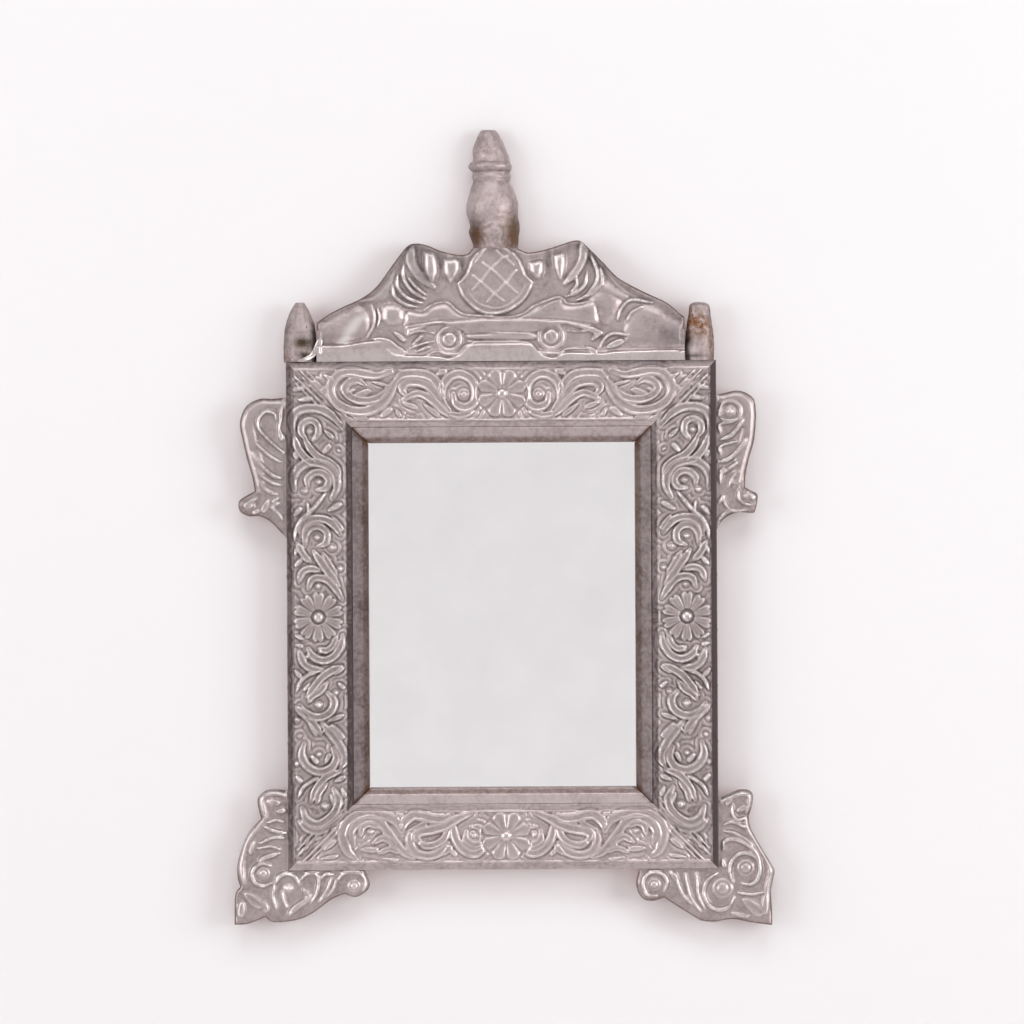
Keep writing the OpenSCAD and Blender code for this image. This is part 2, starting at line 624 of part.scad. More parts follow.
module right_finial() side_finial(right_finial_x, right_outline, right_finial_r, right_finial_h);
module left_finial_skin() side_finial_skin(-left_finial_x, left_outline, left_finial_r, left_finial_h);
module right_finial_skin() side_finial_skin(right_finial_x, right_outline, right_finial_r, right_finial_h);

// Ears: x runs out from the side of the stile and y down from the top of the frame to minus values.
left_ear_run = [[4, -27], [11, -27.5], [20, -27.5], [30, -33], [35, -45], [33, -58.5], [29.5, -74], [26, -86], [24, -97]];
left_ear_curl = [[24, -97], [28.5, -99.5], [35, -103.5], [36.5, -108], [34.5, -113], [28.5, -116], [20.5, -116],
    [12.5, -120], [5.5, -127], [0, -133]];
right_ear_run = [[0, -26], [6, -25], [15, -23], [22, -24.5], [28.5, -29.5], [30, -38], [30, -46], [28.5, -61], [24.5, -75],
    [22, -87], [21.5, -96]];
right_ear_curl = [[21.5, -96], [26, -98.5], [30.5, -101], [31, -105.5], [29, -114], [26.5, -115.5], [17.5, -115],
    [10, -117], [4, -121.5], [0, -128]];
drawn_ear_drop = 26;
ear_lift = drawn_ear_drop - ear_drop;
function lifted(p) = [for (q = p) [q[0], q[1] + ear_lift]];
module ear_outline(run, curl) polygon(concat(
    [[0, run[0][1] + ear_lift]], smooth_run(lifted(run), 2), smooth_run(lifted(curl), 2)
));
module left_ear_outline() mirror([1, 0]) ear_outline(left_ear_run, left_ear_curl);
module right_ear_outline() ear_outline(right_ear_run, right_ear_curl);
module ear_place(lr) translate([lr * frame_w / 2, 0, frame_h / 2]) children();
ear_flutes = [[[26, -44], [21, -80], 4], [[20, -52], [17, -88], -3], [[13, -56], [10, -92], -3], [[7, -64], [5, -96], -2]];
ear_leaves = [[[24, -88], [27, -104], 7], [[18, -94], [20, -108], 7], [[11, -98], [12, -112], 7], [[4, -100], [4, -116], 6],
    [[27, -105], [32, -110], 6], [[3, -34], [8, -52], 6], [[24, -34], [29, -44], 6], [[14, -46], [20, -50], 5]];
module ear_relief(lr) scale([lr, 1, 1]) translate([0, ear_lift, 0]) {
    volute([17, -39], 9, -80, 400);
    for (s = ear_flutes) rib(bow(s[0], s[1], s[2], 3));
    for (s = ear_leaves) leaf(s[0], s[1], s[2], relief_h * 0.8);
}
module ear_board(lr) color(timber) difference() {
    ear_place(lr) board_blank() children();
    ear_dowel_set(fit);
}
module ear_sheet(lr) color(metal) difference() {
    ear_place(lr) upright(board_back) {
        board_sheet() children();
        translate([0, 0, relief_z]) ear_relief(lr);
    }
    ear_dowel_set(hole_play, $fn = hole_fn);
}
module left_ear_board() ear_board(-1) left_ear_outline();
module right_ear_board() ear_board(1) right_ear_outline();
module left_ear_sheet() ear_sheet(-1) left_ear_outline();
module right_ear_sheet() ear_sheet(1) right_ear_outline();
module ear_dowels() color(timber) ear_dowel_set();

// Feet: x runs out from the side of the stile and y up from the bottom edge of the frame.
left_foot_side = [[0, 60], [8, 61], [17, 60], [23, 54], [22, 45], [20.5, 39]];
left_foot_leaf = [[20.5, 39], [31, 27], [38, 7.5], [38.5, -5], [36.5, -12]];
left_foot_tip = [[36.5, -12], [40.5, -19], [41, -41]];
left_foot_under = [[41, -41], [30, -40], [17.5, -35]];
left_foot_arch = [[17.5, -35], [12, -39], [-3.5, -38], [-17, -33], [-32.5, -22], [-42.5, -18]];
left_foot_curl = [[-42.5, -18], [-50, -20.5], [-58, -16.5], [-61, -11], [-57, 0]];
right_foot_side = [[0, 52], [8, 55.5], [18, 59.5], [25.5, 57], [26, 49], [23, 39]];
right_foot_leaf = [[23, 39], [25, 29], [36, 9.5], [42, -1], [41.5, -7], [39.5, -17]];
right_foot_tip = [[39.5, -17], [40.5, -41], [38.5, -43]];
right_foot_under = [[38.5, -43], [24, -41], [10, -38.5], [-3, -40.5], [-13.5, -39.5]];
right_foot_arch = [[-13.5, -39.5], [-25, -32.5], [-41, -22]];
right_foot_curl = [[-41, -22], [-50, -24.5], [-58, -22], [-62, -12.5], [-59.5, 0]];
module foot_outline(runs) polygon(concat([[0, 0]], [for (r = runs) each smooth_run(r, 2)]));
module left_foot_outline() mirror([1, 0])
    foot_outline([left_foot_side, left_foot_leaf, left_foot_tip, left_foot_under, left_foot_arch, left_foot_curl]);
module right_foot_outline()
    foot_outline([right_foot_side, right_foot_leaf, right_foot_tip, right_foot_under, right_foot_arch, right_foot_curl]);
module foot_place(lr) translate([lr * frame_w / 2, 0, -frame_h / 2]) children();
foot_flutes = [[[6, 30], [26, 12], 3], [[5, 20], [28, 2], 3], [[4, 10], [22, -6], 3], [[-14, -4], [-24, -22], -3],
    [[-22, -4], [-32, -17], -3], [[-6, -4], [-14, -30], -4]];
foot_leaves = [[[14, 44], [18, 54], 7], [[31, -20], [38, -38], 11], [[24, -24], [30, -36], 8], [[4, 46], [6, 56], 6],
    [[28, 22], [34, 10], 6], [[-4, -30], [10, -36], 6], [[-36, -4], [-46, -9], 6], [[8, 2], [16, -10], 6]];
module foot_relief(lr) scale([lr, 1, 1]) {
    volute([13, 49], 8, -60, 380);
    volute([25, -5], 9.5, 100, -380);
    volute([4, -22], 13, 60, 420);
    volute([-51, -11], 6.5, 80, 360);
    for (s = foot_flutes) rib(bow(s[0], s[1], s[2], 3));
    for (s = foot_leaves) leaf(s[0], s[1], s[2], relief_h * 0.8);
}
module foot_board(lr) color(timber) difference() {
    foot_place(lr) board_blank() children();
    foot_dowel_set(fit);
}
module foot_sheet(lr) color(metal) difference() {
    foot_place(lr) upright(board_back) {
        board_sheet() children();
        translate([0, 0, relief_z]) foot_relief(lr);
    }
    foot_dowel_set(hole_play, $fn = hole_fn);
}
module left_foot_board() foot_board(-1) left_foot_outline();
module right_foot_board() foot_board(1) right_foot_outline();
module left_foot_sheet() foot_sheet(-1) left_foot_outline();
module right_foot_sheet() foot_sheet(1) right_foot_outline();
module foot_dowels() color(timber) foot_dowel_set();

// Strap hangers on the back of the crest board. In hanger space y points away from the board.
hinge_play = 0.08;
knuckle_r = wire_d / 2 + hinge_play + strap_t;
hinge_gap = 0.5;
hinge_off = strap_t + wire_d / 2 + hinge_gap;
screw_down = [21, 30];
screw_d = 3;
screw_len = 10;
screw_head_d = 6;
screw_head_h = 1.6;
module hanger_place(lr) translate([lr * hanger_x, -board_back, frame_h / 2 + hanger_up]) children();
module strap_screw_set(play = 0) for (lr = [-1, 1], down = screw_down) hanger_place(lr)
    translate([0, 0, -down]) rotate([90, 0, 0]) cylinder(h = screw_len + play, d = screw_d + 2 * play);
module strap_screws() color(steel) {
    strap_screw_set();
    for (lr = [-1, 1], down = screw_down) hanger_place(lr) translate([0, strap_t, -down]) rotate([-90, 0, 0]) {
        translate([0, 0, -strap_t]) cylinder(h = strap_t + cut, d = screw_d);
        cylinder(h = screw_head_h, r1 = screw_head_d / 2, r2 = screw_head_d / 3);
    }
}
module strap(lr) color(steel) hanger_place(lr) difference() {
    union() {
        translate([-strap_w / 2, 0, -strap_len + strap_w / 2]) cube([strap_w, strap_t, strap_len - strap_w / 2]);
        translate([0, 0, -strap_len + strap_w / 2]) rotate([-90, 0, 0]) cylinder(h = strap_t, d = strap_w);
        translate([-strap_w / 2, hinge_off, 0]) rotate([0, 90, 0]) cylinder(h = strap_w, r = knuckle_r);
    }
    translate([-strap_w, hinge_off, 0]) rotate([0, 90, 0]) cylinder(h = 2 * strap_w, d = wire_d + 2 * hinge_play);
    for (down = screw_down) translate([0, -cut, -down]) rotate([-90, 0, 0])
        cylinder(h = strap_t + 2 * cut, d = screw_d + 2 * skin_play);
}
module ring(lr) color(steel) hanger_place(lr) translate([0, hinge_off, 0]) {
    translate([-ring_w / 2, 0, 0]) rotate([0, 90, 0]) cylinder(h = ring_w, d = wire_d);
    for (side = [-1, 1]) {
        translate([side * ring_w / 2, 0, 0]) sphere(d = wire_d);
        translate([side * ring_w / 2, 0, -ring_leg]) cylinder(h = ring_leg, d = wire_d);
    }
    translate([0, 0, -ring_leg]) rotate([-90, 0, 0]) rotate_extrude(angle = 180)
        translate([ring_w / 2, 0]) circle(d = wire_d);
}
module left_strap() strap(-1);
module right_strap() strap(1);
module left_ring() ring(-1);
module right_ring() ring(1);

top_rail_core();
bottom_rail_core();
left_stile_core();
right_stile_core();
top_rail_sheet();
bottom_rail_sheet();
left_stile_sheet();
right_stile_sheet();
top_bead();
bottom_bead();
left_bead();
right_bead();
top_bead_skin();
bottom_bead_skin();
left_bead_skin();
right_bead_skin();
mirror_glass();
backing_board();
backing_pins();
mitre_nails();
sheet_tacks();
crest_board();
crest_sheet();
crest_dowels();
centre_finial();
left_finial();
right_finial();
centre_finial_skin();
left_finial_skin();
right_finial_skin();
left_ear_board();
right_ear_board();
left_ear_sheet();
right_ear_sheet();
ear_dowels();
left_foot_board();
right_foot_board();
left_foot_sheet();
right_foot_sheet();
foot_dowels();
left_strap();
right_strap();
left_ring();
right_ring();
strap_screws();
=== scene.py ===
"""Wall mirror: a mitred wooden frame with a carved crest, ears, feet and finials, clad in embossed white metal."""

from math import cos, pi, radians, sin

import bpy
import numpy as np
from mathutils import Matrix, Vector


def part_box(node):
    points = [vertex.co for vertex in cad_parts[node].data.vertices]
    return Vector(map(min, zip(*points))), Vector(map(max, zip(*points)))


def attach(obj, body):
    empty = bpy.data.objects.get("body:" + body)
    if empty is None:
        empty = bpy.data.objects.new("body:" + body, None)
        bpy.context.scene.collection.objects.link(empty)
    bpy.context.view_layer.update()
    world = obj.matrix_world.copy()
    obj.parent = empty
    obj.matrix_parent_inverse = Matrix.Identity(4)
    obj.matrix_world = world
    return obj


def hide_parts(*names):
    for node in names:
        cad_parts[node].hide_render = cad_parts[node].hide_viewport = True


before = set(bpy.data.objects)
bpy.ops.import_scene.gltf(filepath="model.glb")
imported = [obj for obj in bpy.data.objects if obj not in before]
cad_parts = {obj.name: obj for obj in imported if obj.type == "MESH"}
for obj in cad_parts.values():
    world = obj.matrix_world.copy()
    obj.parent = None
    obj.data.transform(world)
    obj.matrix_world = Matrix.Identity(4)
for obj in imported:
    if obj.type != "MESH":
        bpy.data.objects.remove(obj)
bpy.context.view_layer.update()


# ---------------------------------------------------------------- Wooden members
# Four mitred lengths of a brown hardwood, sawn and planed by hand, with a rebate behind for the glass.
# They show as bare wood inside the bead, and over the whole back of the mirror.
MM = 0.001


def linear(code):
    """An sRGB hex colour as the linear colour that a socket takes."""
    parts = [int(code[i : i + 2], 16) / 255 for i in (1, 3, 5)]
    return [c / 12.92 if c <= 0.04045 else ((c + 0.055) / 1.055) ** 2.4 for c in parts] + [1.0]


def add(tree, kind, sockets=(), stops=(), **settings):
    """Adds one node, with its own settings, and its sockets set to a value or linked to another node's output.
    stops are the (place, colour) pairs of a colour ramp, in their order."""
    made = tree.nodes.new(kind)
    for key, value in settings.items():
        setattr(made, key, value)
    for key, value in dict(sockets).items():
        if isinstance(value, bpy.types.NodeSocket):
            tree.links.new(value, made.inputs[key])
        else:
            made.inputs[key].default_value = value
    for k, (place, colour) in enumerate(stops):
        line = made.color_ramp.elements
        stop = line[k] if k < 2 else line.new(place)
        stop.position, stop.color = place, colour
    return made


def new_finish(name):
    finish = bpy.data.materials.new(name)
    finish.use_nodes = True
    finish.node_tree.nodes.clear()
    return finish, finish.node_tree


def sawn_wood(name, grain_axis, pale, dark, fibre=1.2, band=9.0):
    """Old unvarnished hardwood: long streaks along the grain, darker rings, dust in the pores, matt all over.
    fibre and band are the widths in mm of a fibre and of a growth ring."""
    finish, tree = new_finish(name)
    place = add(tree, "ShaderNodeTexCoord").outputs["Object"]
    stretch = [1 / MM] * 3
    stretch[grain_axis] = 0.035 / MM
    along = add(tree, "ShaderNodeMapping", {"Vector": place, "Scale": stretch}).outputs["Vector"]
    fibres = add(tree, "ShaderNodeTexNoise", {"Vector": along, "Scale": 1 / fibre, "Detail": 4.0}).outputs["Fac"]
    rings = add(tree, "ShaderNodeTexNoise",
                {"Vector": along, "Scale": 1 / band, "Detail": 2.0, "Distortion": 1.2}).outputs["Fac"]
    both = add(tree, "ShaderNodeMix", {"Factor": 0.45, "A": rings, "B": fibres}, data_type="FLOAT").outputs["Result"]
    stops = [(0.3, linear(dark)), (0.52, linear(pale)), (0.75, linear(dark))]
    colour = add(tree, "ShaderNodeValToRGB", {"Fac": both}, stops).outputs["Color"]
    dark_patches = add(tree, "ShaderNodeTexNoise", {"Vector": place, "Scale": 1 / (40 * MM), "Detail": 3.0}).outputs["Fac"]
    stops = [(0.4, linear("#ffffff")), (0.75, linear("#c4bcb5"))]
    dirt = add(tree, "ShaderNodeValToRGB", {"Fac": dark_patches}, stops).outputs["Color"]
    colour = add(tree, "ShaderNodeMix", {"Factor": 1.0, "A": colour, "B": dirt}, data_type="RGBA",
                 blend_type="MULTIPLY").outputs["Result"]
    rough = add(tree, "ShaderNodeMapRange", {"Value": fibres, "To Min": 0.62, "To Max": 0.85}).outputs["Result"]
    bump = add(tree, "ShaderNodeBump", {"Height": fibres, "Strength": 0.5, "Distance": 0.25 * MM}).outputs["Normal"]
    shader = add(tree, "ShaderNodeBsdfPrincipled",
                 {"Base Color": colour, "Roughness": rough, "Normal": bump, "IOR": 1.5})
    add(tree, "ShaderNodeOutputMaterial", {"Surface": shader.outputs[0]})
    return finish


def dress(node, finish):
    """Gives a CAD node its finish."""
    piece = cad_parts[node]
    piece.data.materials.clear()
    piece.data.materials.append(finish)


rail_wood = sawn_wood("sawn_hardwood_grain_across", 0, "#6b4a31", "#3a2415")
stile_wood = sawn_wood("sawn_hardwood_grain_upright", 2, "#684730", "#372214")
for part in ("top_rail_core", "bottom_rail_core", "top_bead", "bottom_bead", "ear_dowels"):
    dress(part, rail_wood)
for part in ("left_stile_core", "right_stile_core", "left_bead", "right_bead"):
    dress(part, stile_wood)


# ---------------------------------------------------------------- Embossed sheets on rails and stiles
# Thin white metal, hammered into the carving of the wood under it: each sheet starts low on the member's
# outer side, turns over the edge, and crosses the plain lip, the band of scrolls and the plain fillet.
low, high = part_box("top_rail_core")
half_w, half_h = high.x / MM, high.z / MM
wood_y = low.y / MM
sheet_t = 0.5
frame_side, frame_top = half_w + sheet_t, half_h + sheet_t
band_from, band_to = 6.0, 44.0  # the scrolls' band, in from the outer edge
face_w = frame_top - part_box("top_bead_skin")[1].z / MM
face_y = wood_y - sheet_t
relief_h = 2.7
grid_step = 0.5  # between two points of a sheet's surface
square = 0.76  # the layout squares that the ornament's places are counted in
drawn_half_h = 191.0  # the frame's half height that the stiles' layout was drawn for


def smooth(points, per=6):
    """A smooth line through given points."""
    p = np.array(points, float)
    p = np.vstack([2 * p[0] - p[1], p, 2 * p[-1] - p[-2]])
    t = np.linspace(0, 1, per, endpoint=False)[:, None]
    runs = [
        0.5 * (2 * b + (c - a) * t + (2 * a - 5 * b + 4 * c - d) * t**2 + (3 * b - a - 3 * c + d) * t**3)
        for a, b, c, d in zip(p, p[1:], p[2:], p[3:])
    ]
    return np.vstack([*runs, p[-2:-1]])


def unit(value):
    """The value, held between 0 and 1."""
    return np.clip(value, 0.0, 1.0)


def peak(value, at, width):
    """1 where the value is at its place, falling away on both sides over the width."""
    return np.exp(-(((value - at) / width) ** 2))


def dome(r):
    """The height of a round top: 1 in its middle, and 0 from r = 1 outwards."""
    return np.sqrt(unit(1 - r**2))


def spread(field, reach):
    """The field averaged over reach cells each way, under a bell that is cut off at three reaches."""
    cut = 3 * reach
    k = np.arange(-cut, cut + 1)
    w = np.exp(-0.5 * (k / reach) ** 2)
    w /= w.sum()
    padded = np.pad(field, cut, mode="edge")
    rows = sum(w[i] * padded[i : i + field.shape[0], :] for i in range(len(w)))
    return sum(w[i] * rows[:, i : i + field.shape[1]] for i in range(len(w)))


class Chasing:
    """The hammered heights of one sheet, over its points in mm. Each stroke raises what lies under it."""

    def __init__(self, x, z):
        beyond_all = 99.0
        self.x, self.z, self.h, self.gap = x, z, np.zeros(x.shape), np.full(x.shape, beyond_all)

    def near(self, line, reach):
        (x0, z0), (x1, z1) = line.min(0) - reach, line.max(0) + reach
        return np.nonzero((self.x > x0) & (self.x < x1) & (self.z > z0) & (self.z < z1))

    def along(self, line, reach):
        """The points near a line, how far each is from it, and how far along it as a share of the whole."""
        at = self.near(line, reach)
        p = np.stack([self.x[at], self.z[at]], -1)
        a, d = line[:-1], np.diff(line, axis=0)
        gap = p[:, None] - a
        t = unit((gap * d).sum(-1) / np.maximum((d * d).sum(-1), 1e-9))
        q = np.linalg.norm(gap - t[..., None] * d, axis=-1)
        k = q.argmin(1)
        one = np.arange(len(k))
        return at, q[one, k], (k + t[one, k]) / len(d)

    def raise_to(self, at, h, beyond=None):
        """Raises the points to h. beyond is how far each lies outside the stroke, for the folds that follow it."""
        self.h[at] = np.maximum(self.h[at], h)
        if beyond is not None:
            self.gap[at] = np.minimum(self.gap[at], beyond)

    def ribbon(self, points, half, h=relief_h, hollow=1, ends=(0.5, 0.5)):
        """A stem or scroll, round on top. hollow below 1 gives it two raised edges and a floor that high between
        them. ends are the shares of its width that it keeps at its two ends."""
        edge_at = 0.66
        at, q, t = self.along(smooth(points), half + 7)
        width = half * np.interp(t, [0, 0.18, 0.82, 1], [ends[0], 1, 1, ends[1]])
        r = q / width
        edge = dome((r - edge_at) / (1 - edge_at))
        shape = np.maximum(edge, np.where(r < edge_at, hollow, 0)) if hollow < 1 else dome(r)
        self.raise_to(at, h * shape * np.interp(t, [0, 0.06, 0.94, 1], [0.6, 1, 1, 0.6]), q - width)

    def leaf(self, a, b, half, h=relief_h):
        """A leaf from its stalk at a to its tip at b, domed, with a crease down its middle."""
        a, b = np.array(a, float), np.array(b, float)
        at, q, t = self.along(smooth([a, (a + b) / 2, b], 4), half + 5)
        width = half * np.sqrt(unit(4 * t * (1 - t))) ** 0.8 * (0.75 + 0.5 * t) + 1e-3
        r = unit(q / width)
        self.raise_to(at, h * dome(r) * (1 - 0.25 * peak(r, 0, 0.22)), q - width)

    def bud(self, c, r, h=relief_h, ring=True):
        """A round bud or the eye of a scroll: a low dome, with a cut ring inside its rim."""
        at = self.near(np.array([c], float), r + 4)
        q = np.hypot(self.x[at] - c[0], self.z[at] - c[1]) / r
        cut = 0.45 * peak(q, 0.62, 0.12) if ring else 0
        self.raise_to(at, h * unit(dome(q) - cut), (q - 1) * r)

    def fold(self, h, apart, fade=14):
        """Fills the ground with low folds that follow the strokes, apart mm from crease to crease."""
        followed = (self.gap > 0) & (self.gap < 50)
        ridge = np.abs(np.sin(pi * self.gap / apart)) * np.exp(-self.gap / fade)
        self.h = np.maximum(self.h, np.where(followed, h * ridge, 0))

    def petal(self, a, b, half):
        """A tongue from a to b, blunt at its far end, with a crease that dies away towards it."""
        shoulder = 0.68
        at, q, t = self.along(smooth([a, (a + b) / 2, b], 4), half + 2)
        blunt = dome(unit(t - shoulder) / (1 - shoulder))
        width = half * (0.5 + 0.5 * unit(t / shoulder)) * blunt + 1e-3
        r = unit(q / width)
        lengthwise, across = 0.75 + 0.25 * t, (1 - r**4) * (0.55 + 0.45 * r**2)
        crease = 0.2 * peak(r, 0, 0.25) * (1 - t)
        self.raise_to(at, relief_h * across * lengthwise * (1 - crease))

    def flower(self, c, r, petals, turn, lobes=False):
        """A round flower on cleared ground: a button, and petals with a gap between each two. lobes splits them."""
        at = self.near(np.array([c], float), r + 1.5)
        q = np.hypot(self.x[at] - c[0], self.z[at] - c[1]) / r
        self.h[at] *= unit((q - 0.98) / 0.08)
        wide = r * pi * 0.74 / petals
        for a in turn + 2 * pi * np.arange(petals) / petals:
            way, side = np.array([cos(a), sin(a)]), np.array([-sin(a), cos(a)]) * wide * 0.5
            if lobes:
                for hand in (-1, 1):
                    self.petal(c + way * r * 0.36 + side * hand * 0.4, c + way * r + side * hand, wide * 0.58)
            else:
                self.petal(c + way * r * 0.34, c + way * r, wide)
        self.bud(c, r * 0.24, relief_h * 1.2, ring=False)

    def finished(self):
        """The heights with their corners eased, as sheet takes them, and how far each point lies in a hollow
        or stands out on a ridge."""
        h = spread(self.h, 1)
        return h, unit((spread(h, 2) - h) / 0.8), unit((h - spread(h, 3)) / 0.7)


def wavy(x, z, seed, size, height):
    """Slow dents left by the hammer, size mm across and up to height deep."""
    rng = np.random.default_rng(seed)
    out = np.zeros(x.shape)
    for _ in range(14):
        a, f = rng.uniform(0, 2 * pi), rng.uniform(0.5, 1.4) / size
        out += np.sin(2 * pi * f * (x * cos(a) + z * sin(a)) + rng.uniform(0, 2 * pi))
    return height * out / 14**0.5 / 1.4


def new_piece(name, points, faces, finish, slot, values, replaces=()):
    """A mesh of points in mm on the frame, smooth except at its real corners, with named values at its points."""
    mesh = bpy.data.meshes.new(name)
    mesh.from_pydata((np.asarray(points) * MM).tolist(), [], faces)
    for label, field in values.items():
        mesh.attributes.new(label, "FLOAT", "POINT").data.foreach_set("value", np.asarray(field, np.float32))
    mesh.materials.append(finish)
    mesh.shade_smooth()
    mesh.set_sharp_from_angle(angle=radians(62))
    piece = bpy.data.objects.new(name, mesh)
    bpy.context.scene.collection.objects.link(piece)
    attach(piece, "frame")
    if replaces:
        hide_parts(*replaces)


def grid_faces(rows, cols):
    """Quads over a grid of points that is stored row by row."""
    i = np.arange(rows - 1)[:, None] * cols + np.arange(cols - 1)[None, :]
    return np.stack([i, i + 1, i + cols + 1, i + cols], -1).reshape(-1, 4).tolist()


def shell_between(outer, inner, wrap=False):
    """The points and faces of a closed shell between two grids of points. wrap joins the last column to the first."""
    rows, count = outer.shape[:2]
    index = np.arange(rows * count).reshape(rows, count)
    if wrap:
        index = np.hstack([index, index[:, :1]])
    quads = np.stack([index[:-1, :-1], index[:-1, 1:], index[1:, 1:], index[1:, :-1]], -1).reshape(-1, 4)
    rims = [index[0][::-1], index[-1]] + ([] if wrap else [index[:, 0], index[::-1, -1]])
    sides = [np.stack([rim[:-1], rim[1:], rim[1:] + rows * count, rim[:-1] + rows * count], -1) for rim in rims]
    faces = np.concatenate([quads, quads[:, ::-1] + rows * count, *sides])
    return np.concatenate([outer.reshape(-1, 3), inner.reshape(-1, 3)]), faces.tolist()


def white_metal(name, tarnish_and_shade_colour="#463638", polish=0.34, wax=0.4):
    """Thin nickel-silver sheet, embossed by hand, never lacquered, but waxed now and then. Hollows keep brown tarnish,
    the flats have a soft, wavy polish, and ridges are painted pale in spots: partly wear from rubbing, partly painted
    highlight. The pieces carry values of their own: recess, how deep a point lies in the chasing, rub, how far it
    stands out, which sets the pale ridges, grime, how much tarnish and painted shade the place has (below zero, a
    painted highlight), and rust, where a nail has bled."""
    rubbed_and_highlight, rusted = "#efe8e7", "#7c5232"
    finish, tree = new_finish(name)
    place = add(tree, "ShaderNodeTexCoord").outputs["Object"]
    recess, tarnish_shade_sheen, rust, rub_and_glint = (
        add(tree, "ShaderNodeAttribute", attribute_name=label).outputs["Fac"]
        for label in ("recess", "tarnish_shade_sheen", "rust", "rub_and_glint")
    )
    # Clouds of tarnish, spots in them, and the small dents of the hammer: size in mm, detail and roughness.
    clouds, spots, dents = (
        add(tree, "ShaderNodeTexNoise",
            {"Vector": place, "Scale": 1 / (size * MM), "Detail": detail, "Roughness": coarse}).outputs["Fac"]
        for size, detail, coarse in ((22, 5.0, 0.62), (3.5, 4.0, 0.7), (2.6, 2.0, 0.5))
    )
    # Tarnish in the hollows first, then tarnish and painted shade wherever the pieces' values and the clouds meet.
    dull = add(tree, "ShaderNodeMath", {0: recess, 1: 0.8}, operation="MULTIPLY").outputs[0]
    patchy = add(tree, "ShaderNodeMath", {0: clouds, 1: spots}, operation="MULTIPLY").outputs[0]
    patchy = add(tree, "ShaderNodeMapRange", {"Value": patchy, "From Min": 0.2, "From Max": 0.46}).outputs["Result"]
    held = add(tree, "ShaderNodeMapRange", {"Value": patchy, "To Min": 0.62, "To Max": 0.86}).outputs["Result"]
    total = add(tree, "ShaderNodeMath", {0: tarnish_shade_sheen, 1: held, 2: dull}, operation="MULTIPLY_ADD",
                use_clamp=True).outputs[0]
    # Rust breaks out in spots. Below zero the tarnish value paints a highlight in the pale colour, and ridges are
    # painted pale in patches: partly wear from rubbing, partly painted highlight.
    bled = add(tree, "ShaderNodeMapRange",
               {"Value": spots, "From Min": 0.35, "From Max": 0.62, "To Max": rust}).outputs["Result"]
    painted_highlight = add(tree, "ShaderNodeMapRange", {"Value": tarnish_shade_sheen, "From Min": 0.0, "From Max": -1.0}).outputs["Result"]
    glint = add(tree, "ShaderNodeMapRange",
                {"Value": spots, "From Min": 0.36, "From Max": 0.58, "To Max": rub_and_glint}).outputs["Result"]
    colour = linear("#c2b3b3")
    for share, code in ((patchy, "#9b8a8a"), (total, tarnish_and_shade_colour), (bled, rusted), (painted_highlight, rubbed_and_highlight), (glint, rubbed_and_highlight)):
        layer = {"Factor": share, "A": colour, "B": linear(code)}
        colour = add(tree, "ShaderNodeMix", layer, data_type="RGBA").outputs["Result"]
    # Tarnish is rougher than the polish, and a pale ridge is smoother.
    polish_range = {"Value": spots, "From Min": 0.3, "From Max": 0.75, "To Min": polish, "To Max": polish + 0.14}
    rough = add(tree, "ShaderNodeMapRange", polish_range).outputs["Result"]
    for share, more in ((total, 0.25), (glint, -0.16)):
        sum_of = {0: share, 1: more, 2: rough}
        rough = add(tree, "ShaderNodeMath", sum_of, operation="MULTIPLY_ADD", use_clamp=True).outputs[0]
    bare = add(tree, "ShaderNodeMapRange", {"Value": total, "To Min": 1.0, "To Max": 0.6}).outputs["Result"]
    dented = add(tree, "ShaderNodeBump", {"Height": dents, "Strength": 0.5, "Distance": 0.14 * MM}).outputs["Normal"]
    bump = add(tree, "ShaderNodeBump",
               {"Height": spots, "Strength": 0.3, "Distance": 0.08 * MM, "Normal": dented}).outputs["Normal"]
    # The coat is the wax, which gives small sharp lights over the soft metal.
    shader = add(tree, "ShaderNodeBsdfPrincipled", {
        "Base Color": colour, "Metallic": bare, "Roughness": rough, "Normal": bump,
        "Coat Weight": wax, "Coat Roughness": 0.12,
    })
    add(tree, "ShaderNodeOutputMaterial", {"Surface": shader.outputs[0]})
    return finish


metal = white_metal("embossed_white_metal")

# Ornament of a rail's left half. Places are layout squares: across from the middle, in from the outer edge.
# Each scroll is a ribbon (half width in mm, points), each leaf runs from stalk to tip with its half width.
top_ribbons = [
    (2.2, [(-109, 10), (-122, 14), (-132, 13), (-150, 10), (-163, 15), (-169, 27), (-164, 40), (-150, 48), (-132, 49),
        (-118, 42), (-110, 31), (-105, 21), (-96, 14)]),
    (1.8, [(-108, 21), (-115, 31), (-124, 37), (-138, 39), (-149, 35), (-155, 28), (-151, 21), (-142, 19), (-135, 23)]),
    (2.2, [(-106, 22), (-99, 14), (-89, 12), (-77, 13), (-68, 17), (-61, 26), (-58, 36)]),
    (1.9, [(-94, 34), (-98, 28), (-94, 22), (-84, 21), (-74, 24), (-65, 32), (-57, 42), (-50, 51)]),
    (1.7, [(-97, 38), (-89, 34), (-82, 32), (-74, 35), (-65, 42), (-58, 49), (-50, 55)]),
    (2.1, [(-57, 42), (-58, 28), (-52, 17), (-41, 13), (-30, 18), (-25, 29), (-27, 41), (-36, 46), (-45, 42),
        (-47, 33)]),
    (1.4, [(-52, 52), (-40, 54), (-28, 50)]),
]
top_leaves = [
    ((-150, 36), (-129, 28), 3.0), ((-77, 42), (-61, 55), 2.4), ((-98, 41), (-83, 46), 2.6),
    ((-120, 55), (-108, 46), 2.8), ((-128, 20), (-112, 24), 1.8), ((-64, 13), (-54, 9), 2.6),
    ((-187, 19), (-178, 25), 2.6), ((-175, 13), (-166, 19), 2.4), ((-172, 22), (-178, 32), 2.2),
    ((-104, 47), (-100, 55), 2.2), ((-145, 27), (-152, 31), 1.6), ((-132, 56), (-146, 56), 1.4),
]
top_buds = [((-37, 33), 4.6)]
